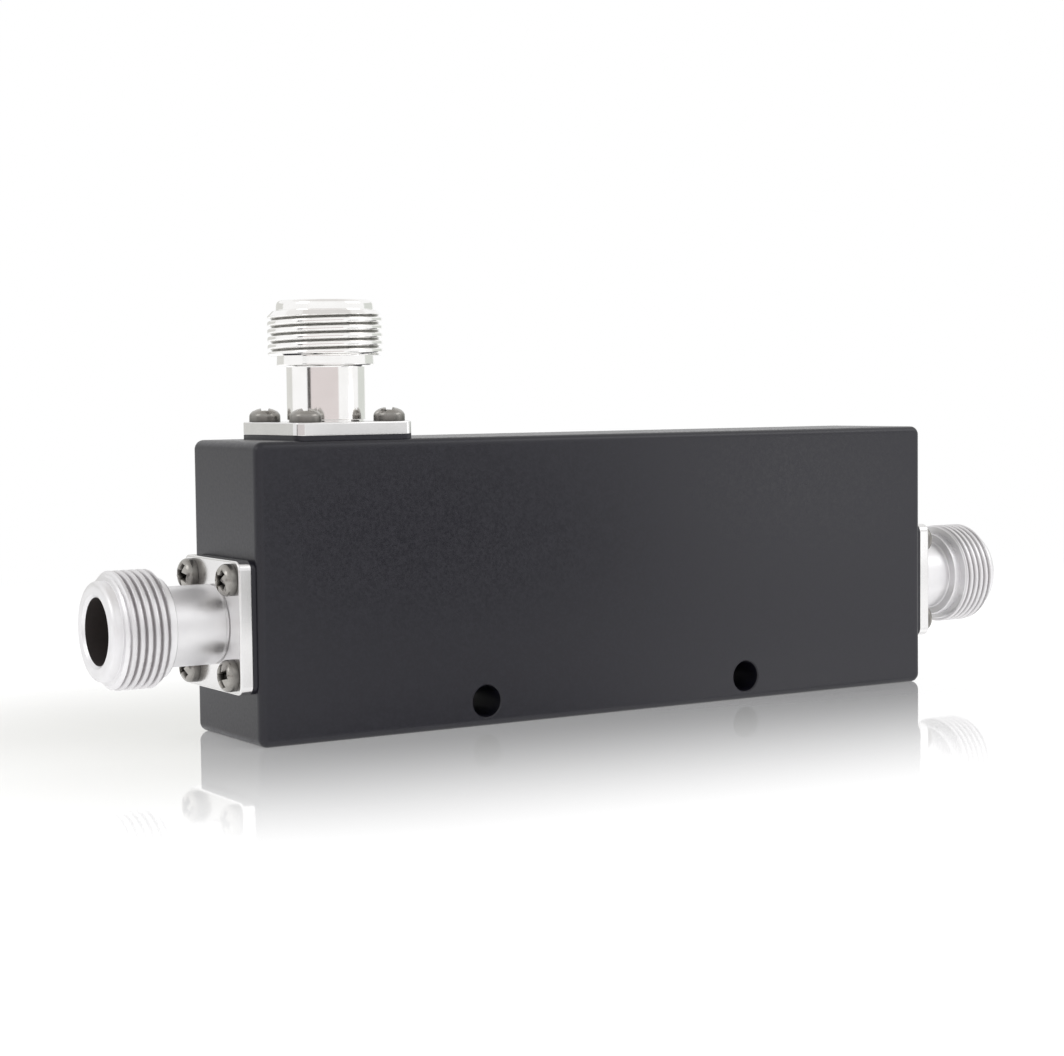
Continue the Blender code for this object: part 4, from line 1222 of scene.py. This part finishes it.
@dataclass(frozen=True)
class Socket:
    """One threaded socket: flange, neck, collar, thread and nose, with its bead, contact and four screws.

    Attributes:
        layout: Shared sizes.
        finishes: Shared finishes.
        port: Which socket.
        plate: Finish of its turned part.
        turns: How far each flange screw was tightened, in degrees.
        phase: Share of a pitch that the thread is set forward.
        flange: Width of the square flange.
        flange_thickness: Thickness of the flange.
        flange_corner: Corner radius of the flange.
        flange_edge: Radius of its soft edges.
        hole_spacing: Distance between the flange screws.
        neck: Radius of the neck.
        neck_end: Where the neck ends.
        collar: Radius of the collar and of the nose.
        thread_start: Where the thread starts.
        thread_end: Where it ends.
        crest: Radius over the thread.
        root: Radius in the thread's grooves.
        pitch: Thread pitch.
        nose_end: Front of the nose.
        bore: Radius of the bore.
        bore_floor: Floor of the bore.
        seat: Radius of the hole behind the floor, which the bead fills.
        bead_front: Front of the bead.
        bead_back: Back of the bead.
        contact_radius: Radius of the contact.
        contact_tip: Front of the contact.
        contact_bore: Radius of the hole in it.
        contact_floor: Where that hole ends, at the tip of its drill.
        contact_back: Back of the pin behind the contact.
        pin: Radius of that pin.
        slot: Width of the slots in the contact.
        slot_depth: Length of the slots.
        hole: Diameter of the holes for the flange screws.
        overlap: How far the flange plate reaches in under the neck.
        groove: Half the width of a groove, as a share of the pitch.
        step: Size of the small bevels in the bore.
        bevel: Size of the bevel at the mouth of the bore.
        undercut: Depth of the ring cut at the foot of the neck.
        lean: How far the nose and the collar draw in for each metre forward.
        columns: Points round the shell.
    """

    layout: Layout
    finishes: Finishes
    port: Port
    plate: bpy.types.Material
    turns: tuple[float, float, float, float]
    phase: float = 0.0
    flange: float = 0.0178
    flange_thickness: float = 0.0018
    flange_corner: float = 0.0013
    flange_edge: float = 0.00022
    hole_spacing: float = 0.0127
    neck: float = 0.0054
    neck_end: float = 0.00945
    collar: float = 0.0067
    thread_start: float = 0.0108
    thread_end: float = 0.01689
    crest: float = 0.0079
    root: float = 0.00732
    pitch: float = 0.001058
    nose_end: float = 0.01839
    bore: float = 0.0045
    bore_floor: float = 0.00975
    seat: float = 0.0038
    bead_front: float = 0.00945
    bead_back: float = -0.0081
    contact_radius: float = 0.0015
    contact_tip: float = 0.01379
    contact_bore: float = 0.00085
    contact_floor: float = 0.0092
    contact_back: float = -0.0121
    pin: float = 0.0008
    slot: float = 0.0004
    slot_depth: float = 0.0035
    hole: float = 0.0031
    overlap: float = 0.0009
    groove: float = 0.17
    step: float = 0.0002
    bevel: float = 0.0004
    undercut: float = 0.00022
    lean: float = 0.05
    columns: int = 168

    def thread(self, height: np.ndarray) -> np.ndarray:
        """Work out the radius of the thread at each height and column.

        The share of a pitch at height z and angle a is frac(z / pitch - a / 2 pi - phase), which climbs to
        the right as every right-hand thread does. With d the distance from the middle of the groove in
        pitches, the groove takes away the share exp(-(d / groove) squared) of the thread's depth, so that
        rolled crests swell between narrow grooves. At both ends the radius stays under a 45 degree chamfer.

        Args:
            height: Height of each row.

        Returns:
            One row of radii for each height.
        """
        turn = np.arange(self.columns) / self.columns
        share = np.mod(height[:, None] / self.pitch - turn - self.phase, 1.0)
        groove = np.exp(-(((share - 0.5) / self.groove) ** 2))
        radius = self.crest - (self.crest - self.root) * groove
        over_front = self.root - 0.0001 + np.clip(self.thread_end - height, 0.0, None)
        over_back = self.root + 0.0003 + np.clip(height - self.thread_start, 0.0, None)
        return np.minimum(radius, np.minimum(over_front, over_back)[:, None])

    def shell_rows(self) -> tuple[np.ndarray, np.ndarray, np.ndarray]:
        """List the shell's closed profile, from the nose down the outside, through the flange, up the bore.

        Returns:
            Radius and height of each row and column, and whether each row lies in the bore, which takes
            painted shade.
        """
        nose = rounded_profile(
            [
                (self.bore, self.bore_floor + 0.001, 0.0),
                (self.bore, self.nose_end - self.bevel, 0.0001),
                (self.bore + self.bevel, self.nose_end, 0.0001),
                (self.collar - self.lean * 0.0015, self.nose_end, 0.0007),
                (self.collar, self.thread_end + 0.00015, 0.00008),
                (self.root - 0.0001, self.thread_end + 0.00002, 0.0),
            ],
            6,
        )
        rows = int((self.thread_end - self.thread_start) / self.pitch * 24)
        thread_heights = np.linspace(self.thread_end, self.thread_start, rows)
        tail = rounded_profile(
            [
                (self.collar - self.lean * 0.0013, self.thread_start - 0.00004, 0.0),
                (self.collar, self.neck_end, 0.00018),
                (self.neck, self.neck_end, 0.00022),
                (self.neck, self.flange_thickness + 0.0003, 0.00005),
                (self.neck - self.undercut, self.flange_thickness + 0.00018, 0.00005),
                (self.neck - self.undercut, self.step, 0.0),
                (self.seat + self.step, self.step, 0.0),
                (self.seat, 2 * self.step, 0.0),
                (self.seat, self.bore_floor - self.step, 0.0),
                (self.seat + self.step, self.bore_floor, 0.0),
                (self.bore - self.step, self.bore_floor, 0.0),
                (self.bore, self.bore_floor + self.step, 0.0),
            ],
            5,
        )
        radius = np.concatenate(
            [
                np.repeat(nose[:, :1], self.columns, axis=1),
                self.thread(thread_heights),
                np.repeat(tail[:, :1], self.columns, axis=1),
            ]
        )
        height = np.concatenate([nose[:, 1], thread_heights, tail[:, 1]])
        hair = 0.00001
        # Rows in the bore take painted shade: a dark finish in place of the silver plate
        dark = (np.max(radius, axis=1) < self.bore + hair) & (height > self.bore_floor - hair)
        return radius, height, dark

    def flange_plate(self) -> Surface:
        """Make the square flange with its middle cut out and its four screw holes.

        Returns:
            The plate.
        """
        half, top, low_edge = self.flange / 2, self.flange_thickness, 0.0001
        plate = Slab(
            -half, half, -half, half, 0.0, top, self.flange_corner, low_edge, self.flange_edge, edge_steps=4
        )
        low, high = -CUT_MARGIN, top + CUT_MARGIN
        bars = [drill(Vector((0, 0, low)), Vector((0, 0, high)), 2 * (self.neck - self.overlap))]
        bars += [drill(Vector((x, y, low)), Vector((x, y, high)), self.hole) for x, y in self.hole_places()]
        shape = carved(plate.surface(), [("DIFFERENCE", joined(bars))])
        count = len(shape.points)
        shape.marks = {Mark.TURNING: np.zeros((count, 3)), Mark.RECESS: np.zeros(count)}
        return shape

    def hole_places(self) -> list[tuple[float, float]]:
        """List where the flange's screws are, in the order of the nodes."""
        half = self.hole_spacing / 2
        return [(across, up) for across in (-half, half) for up in (-half, half)]

    def shell(self) -> Surface:
        """Make the whole shell, with the bore marked for its finish of painted shade.

        Returns:
            The shell with its flange.
        """
        radius, height, dark = self.shell_rows()
        turned = revolved(radius, height, self.columns, True)
        # Faces in the bore get the painted shade finish
        turned.finish = np.repeat(dark.astype(int), self.columns)
        # Painted shade: this mark darkens the grooves of the thread, most at the root
        threaded = (height > self.thread_start + 0.0001) & (height < self.thread_end - 0.0006)
        sunk = np.clip((self.crest - radius) / (self.crest - self.root), 0.0, 1.0)
        turned.marks[Mark.RECESS] = ((0.5 + 0.5 * sunk) * threaded[:, None]).ravel()
        plate = self.flange_plate()
        plate.finish[:] = 2
        return joined([turned, plate])

    def bead(self) -> Surface:
        """Make the white bead that fills the seat and holds the contact.

        Returns:
            The bead.
        """
        inner, outer = self.contact_radius, self.seat - 0.00002
        profile = rounded_profile(
            [
                (inner, self.bead_back, 0.0001),
                (inner, self.bead_front, 0.0001),
                (outer, self.bead_front, 0.00015),
                (outer, self.bead_back, 0.00015),
            ],
            4,
            True,
        )
        return revolved(profile[:, 0], profile[:, 1], 72, True)

    def contact(self) -> Surface:
        """Make the gold contact: a tube slotted into four fingers, with a pin behind the bead.

        Returns:
            The contact.
        """
        tip, outer, inner = self.contact_tip, self.contact_radius, self.contact_bore
        lead, pin = 0.00015, self.pin
        profile = rounded_profile(
            [
                (0.0, self.contact_floor, 0.0),
                (inner, self.contact_floor + 0.0004, 0.0),
                (inner, tip - lead, 0.0),
                (inner + lead, tip, 0.00005),
                (outer - 0.00025, tip, 0.00005),
                (outer, tip - 0.0003, 0.00015),
                (outer, self.bead_back, 0.0001),
                (pin, self.bead_back - 0.0001, 0.0),
                (pin, self.contact_back, 0.0001),
                (0.0, self.contact_back, 0.0),
            ],
            4,
        )
        tube = revolved(profile[:, 0], profile[:, 1], 64)
        low, high, wide, narrow = tip - self.slot_depth, tip + CUT_MARGIN, 2 * outer, self.slot / 2
        blades = [
            Slab(-across, across, -up, up, low, high, 0.00004, corner_steps=1).surface()
            for across, up in ((wide, narrow), (narrow, wide))
        ]
        shape = carved(tube, [("DIFFERENCE", blade) for blade in blades])
        reach = np.hypot(shape.points[:, 0], shape.points[:, 1])
        shape.marks = {Mark.TURNING: np.stack([shape.points[:, 2], reach, np.zeros_like(reach)], axis=-1)}
        return shape

    def build(self) -> None:
        """Make the socket's pieces and put them in the scene."""
        name, place, finishes = self.port.value, self.layout.port(self.port), self.finishes
        shell_finishes = [self.plate, finishes.bore, finishes.flange]
        for piece, shape, own_finishes, node, slot in (
            ("shell_plated", self.shell(), shell_finishes, "socket_shell", Slot.SILVER_PLATE),
            ("bead_turned", self.bead(), [finishes.bead], "insulator", Slot.WHITE_BEAD),
            ("contact_slotted", self.contact(), [finishes.gold], "contact", Slot.GOLD_PLATE),
        ):
            add_piece(f"{name}_{piece}", shape.moved(place), own_finishes, [f"{name}_{node}"])
        screw = ScrewHead(
            diameter=0.0043,
            side=0.0007,
            dome=0.00125,
            shank=0.0025,
            length=0.005,
            cone=0.0,
            spokes=0.0031,
            spoke_width=0.0011,
            recess_depth=0.0013,
        )
        seats = [place @ Matrix.Translation((x, y, self.flange_thickness)) for x, y in self.hole_places()]
        names = (name + "_screw_{}_headed", name + "_flange_screw_{}")
        add_screws(names, screw.surface(), seats, self.turns, finishes.screw)


@dataclass(frozen=True)
class InnerParts:
    """The lines, supports and load inside the closed cavity, which keep their solids and get true finishes.

    Attributes:
        finishes: Shared finishes.
        nodes: Every node of the frame, by name.
    """

    finishes: Finishes
    nodes: dict[str, bpy.types.Object]

    def dress(self) -> None:
        """Give each solid that still shows its finish, by the slot that it came with."""
        for name, node in self.nodes.items():
            if node.hide_render:
                continue
            for holder in node.material_slots:
                word = holder.material.name.split(".")[0]
                holder.material = self.finishes.for_slot(Slot(word))
                LOG.info("%s keeps its solid, in %s", name, holder.material.name)


# Studio


def direction(side: float, lift: float) -> Vector:
    """Point from the stage to a side a and an elevation e, along (sin a cos e, -cos a cos e, sin e).

    Args:
        side: Angle in degrees from the front towards +X.
        lift: Elevation in degrees.

    Returns:
        The direction, with a length of 1.
    """
    turn, rise = math.radians(side), math.radians(lift)
    return Vector((math.sin(turn) * math.cos(rise), -math.cos(turn) * math.cos(rise), math.sin(rise)))


def seen_directly(tree: bpy.types.NodeTree) -> bpy.types.Node:
    """Add a share that is 1 for the camera, in mirrors and through glass, and 0 for light on plain bodies.

    Args:
        tree: Tree that gets the nodes.

    Returns:
        The node that gives the share.
    """
    path = add_node(tree, "LightPath").outputs
    seen = add_node(tree, "Math", (path["Is Camera Ray"], path["Is Glossy Ray"]), operation="MAXIMUM")
    return add_node(tree, "Math", (seen, path["Is Transmission Ray"]), operation="MAXIMUM")


@dataclass(frozen=True)
class Floor:
    """The glossy white sheet that the coupler stands on.

    It is white acrylic: a white body under a clear skin, which mirrors what stands on it at a low angle. The
    mirror image fades with the distance from the housing, as it does where the sheet is lit from the front.

    Attributes:
        half: Half the width of the sheet.
        footprint: Half the length and half the depth of what stands on it.
        fade: Distance over which the mirror image fades away.
        mirror: Share of the skin's reflection that is used.
        glow: Light that lifts the white to the background's.
        open_floor: Distances over which the sheet turns into the plain white background.
        colour: Colour of the white body.
        skin_index: Refractive index of the skin, set high for a strong mirror image.
        roughness: Roughness of the skin.
        drop: How far the sheet lies under the housing.
    """

    half: float = 3.0
    footprint: tuple[float, float] = (0.0575, 0.01025)
    fade: float = 0.09
    mirror: float = 1.46
    glow: float = 0.62
    open_floor: tuple[float, float] = (0.09, 0.26)
    colour: str = "#E8E8E8"
    skin_index: float = 1.9
    roughness: float = 0.03
    drop: float = 0.00001

    def material(self) -> bpy.types.Material:
        """Make the sheet's finish.

        Returns:
            The material.
        """
        material, tree = empty_finish("white_acrylic_sheet")
        smooth = {"interpolation_type": "SMOOTHSTEP"}
        place = add_node(tree, "TexCoord").outputs["Object"]
        apart = add_node(tree, "VectorMath", (place,), operation="ABSOLUTE")
        beyond = add_node(tree, "VectorMath", (apart, (*self.footprint, 0.0)), operation="SUBTRACT")
        outside = add_node(tree, "VectorMath", (beyond, (0.0, 0.0, 0.0)), operation="MAXIMUM")
        distance = add_node(tree, "VectorMath", (outside,), operation="LENGTH").outputs["Value"]
        near = add_node(tree, "MapRange", (distance, 0.0, self.fade, self.mirror, 0.0), **smooth)
        skin = add_node(tree, "Fresnel", {"IOR": self.skin_index})
        share = add_node(tree, "Math", (near, skin), operation="MULTIPLY", use_clamp=True)
        seen = seen_directly(tree)
        level = add_node(tree, "Math", (seen, self.glow), operation="MULTIPLY")
        body = add_node(tree, "BsdfDiffuse", {"Color": linear(self.colour)})
        lift = add_node(tree, "Emission", {"Color": linear(WHITE), "Strength": level})
        white = add_node(tree, "AddShader", (body, lift))
        gloss = add_node(tree, "BsdfGlossy", {"Color": linear(WHITE), "Roughness": self.roughness})
        sheet = add_node(tree, "MixShader", (share, white, gloss))
        away = add_node(tree, "MapRange", (distance, *self.open_floor, 0.0, 1.0), **smooth)
        open_share = add_node(tree, "Math", (seen, away), operation="MULTIPLY")
        backdrop = add_node(tree, "Emission", {"Color": linear(WHITE), "Strength": 1.0})
        whole = add_node(tree, "MixShader", (open_share, sheet, backdrop))
        add_node(tree, "OutputMaterial", (whole,))
        return material

    def build(self) -> None:
        """Lay the sheet a hair under the housing."""
        mesh = bpy.data.meshes.new("floor_sheet")
        ends = ((-1, -1), (1, -1), (1, 1), (-1, 1))
        mesh.from_pydata([(x * self.half, y * self.half, -self.drop) for x, y in ends], [], [(0, 1, 2, 3)])
        mesh.materials.append(self.material())
        sheet = bpy.data.objects.new("floor_sheet", mesh)
        bpy.context.scene.collection.objects.link(sheet)


@dataclass(frozen=True)
class Card:
    """A curved grey card beside the stage that bright metal mirrors, as it mirrors the room in a studio.

    Attributes:
        name: Name of the card.
        sides: First and last direction that it covers, in degrees from the front towards +X.
        heights: Lowest and highest elevation, in degrees.
        colour: What it looks like in the metal.
        radius: Distance from the middle of the stage.
        level: Brightness, where 1 shows the colour as written.
        columns: Points along the card.
        rows: Points up the card.
    """

    name: str
    sides: tuple[float, float]
    heights: tuple[float, float]
    colour: str
    radius: float = 0.9
    level: float = 1.0
    columns: int = 25
    rows: int = 13

    def build(self) -> None:
        """Make the card: the point at side a and elevation e is R (sin a cos e, -cos a cos e, sin e)."""
        turn, lift = np.meshgrid(
            np.radians(np.linspace(*self.sides, self.columns)),
            np.radians(np.linspace(*self.heights, self.rows)),
        )
        points = self.radius * np.stack(
            [np.sin(turn) * np.cos(lift), -np.cos(turn) * np.cos(lift), np.sin(lift)], axis=-1
        )
        # The faces that would close the ring are left out, so that the card has two ends
        faces = grid_faces(self.rows, self.columns, False).reshape(-1, self.columns, 4)[:, :-1].reshape(-1, 4)
        mesh = bpy.data.meshes.new(self.name)
        mesh.from_pydata(points.reshape(-1, 3).tolist(), [], faces.tolist())
        material, tree = empty_finish(self.name)
        glow = add_node(tree, "Emission", {"Color": linear(self.colour), "Strength": self.level})
        add_node(tree, "OutputMaterial", (glow,))
        mesh.materials.append(material)
        card = bpy.data.objects.new(self.name, mesh)
        card.visible_camera = False
        card.visible_diffuse = False
        card.visible_shadow = False
        card.visible_transmission = False
        bpy.context.scene.collection.objects.link(card)


@dataclass(frozen=True)
class SoftBox:
    """A large soft lamp, which lights bodies but does not show. What metal mirrors is the room and its cards.

    Attributes:
        name: Name of the lamp.
        side: Direction from the stage, in degrees from the front towards +X.
        lift: Elevation, in degrees.
        distance: Distance from the middle of the stage.
        width: Width of its face.
        height: Height of its face.
        level: Brightness of its face, where 1 is white.
    """

    name: str
    side: float
    lift: float
    distance: float
    width: float
    height: float
    level: float

    def build(self) -> None:
        """Hang the lamp with its face to the stage. Its power is pi times its area times its brightness."""
        light = bpy.data.lights.new(self.name, "AREA")
        light.shape = "RECTANGLE"
        light.size = self.width
        light.size_y = self.height
        light.energy = math.pi * self.width * self.height * self.level
        outward = direction(self.side, self.lift)
        lamp = bpy.data.objects.new(self.name, light)
        lamp.matrix_world = Matrix.Translation(outward * self.distance) @ facing(outward)
        lamp.visible_camera = False
        lamp.visible_glossy = False
        bpy.context.scene.collection.objects.link(lamp)


@dataclass(frozen=True)
class Studio:
    """Floor, lamps, cards, white surroundings and camera.

    Attributes:
        fill: Brightness of the surroundings for what they light.
        camera_place: Where the camera stands.
        camera_turn: Side, elevation and roll of the camera, in degrees.
        lens: Focal length in millimetres.
        sensor: Width of the sensor in millimetres.
    """

    fill: float = 0.5
    camera_place: tuple[float, float, float] = (-0.18143, -0.27642, 0.04666)
    camera_turn: tuple[float, float, float] = (-32.013, 3.501, -0.656)
    lens: float = 75.43
    sensor: float = 36.0

    def surroundings(self) -> None:
        """Make the world: white to the camera and in mirrors, and a plain fill light for everything else."""
        world = bpy.data.worlds.new("white_room")
        world.use_nodes = True
        tree = world.node_tree
        tree.nodes.clear()
        fill = add_node(tree, "Background", {"Color": linear(WHITE), "Strength": self.fill})
        plain = add_node(tree, "Background", {"Color": linear(WHITE), "Strength": 1.0})
        both = add_node(tree, "MixShader", (seen_directly(tree), fill, plain))
        add_node(tree, "OutputWorld", (both,))
        bpy.context.scene.world = world

    def camera(self) -> None:
        """Set the camera up, with its back to its side and elevation, and turned by its roll."""
        side, lift, tilt = self.camera_turn
        back, roll = direction(side, lift), math.radians(tilt)
        right = (-back).cross(Vector((0.0, 0.0, 1.0))).normalized()
        up = right.cross(-back)
        turned_right = right * math.cos(roll) + up * math.sin(roll)
        turned_up = -right * math.sin(roll) + up * math.cos(roll)
        frame = Matrix((turned_right, turned_up, back)).transposed().to_4x4()
        data = bpy.data.cameras.new("view")
        data.lens = self.lens
        data.sensor_width = self.sensor
        data.clip_start = 0.01
        data.clip_end = 20.0
        camera = bpy.data.objects.new("view", data)
        camera.matrix_world = Matrix.Translation(self.camera_place) @ frame
        bpy.context.scene.collection.objects.link(camera)
        bpy.context.scene.camera = camera

    def build(self) -> None:
        """Set the whole studio."""
        bpy.context.scene.view_settings.view_transform = "Standard"
        self.surroundings()
        self.camera()
        Floor().build()
        for lamp in (
            SoftBox("right_front_box", 42.0, 20.0, 0.85, 1.25, 0.75, 1.0),
            SoftBox("left_back_box", -138.0, 20.0, 0.85, 1.1, 0.7, 1.0),
        ):
            lamp.build()
        for card in (
            Card("front_card", (-73.0, 7.0), (-8.0, 7.0), "#DDD4D3"),
            Card("dark_card", (-83.0, -73.0), (-8.0, 7.0), "#4A4644", 0.88),
            Card("side_card", (80.0, 128.0), (-8.0, 20.0), "#DADDD8"),
            Card("ceiling_card", (-180.0, 180.0), (48.0, 66.0), "#F4F3F2"),
            Card("ceiling_gap", (-180.0, 180.0), (66.0, 90.0), "#E0DEDC"),
            Card("bounce_card", (34.0, 51.0), (2.5, 12.0), WHITE, 0.22, 2.0),
            Card("key_card", (28.0, 68.0), (26.0, 46.0), WHITE, 0.8, 2.2),
            Card("left_key_card", (-100.0, -72.0), (26.0, 46.0), WHITE, 0.8, 2.2),
            Card("low_card", (3.0, 20.0), (0.0, 13.0), "#151314", 0.15),
            Card("low_grey_card", (20.0, 34.0), (0.0, 13.0), "#8A8889", 0.15),
            Card("back_card", (-200.0, -141.0), (-8.0, 20.0), "#DCDCD8", 0.8),
        ):
            card.build()


def main() -> None:
    """Load the frame, build the coupler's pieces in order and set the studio."""
    logging.basicConfig(level=logging.INFO, format="%(name)s: %(message)s")
    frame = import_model()
    layout = Layout()
    finishes = Finishes.mixed()
    Housing(layout, finishes).build()
    RearCover(layout, finishes).build()
    Socket(layout, finishes, Port.INPUT, finishes.satin, (38.0, 71.0, 15.0, 52.0)).build()
    Socket(layout, finishes, Port.OUTPUT, finishes.satin, (64.0, 20.0, 47.0, 8.0)).build()
    Socket(layout, finishes, Port.COUPLED, finishes.silver, (60.0, 68.0, 64.0, 55.0), 0.44).build()
    InnerParts(finishes, frame["nodes"]).dress()
    Studio().build()


if __name__ == "__main__":
    main()
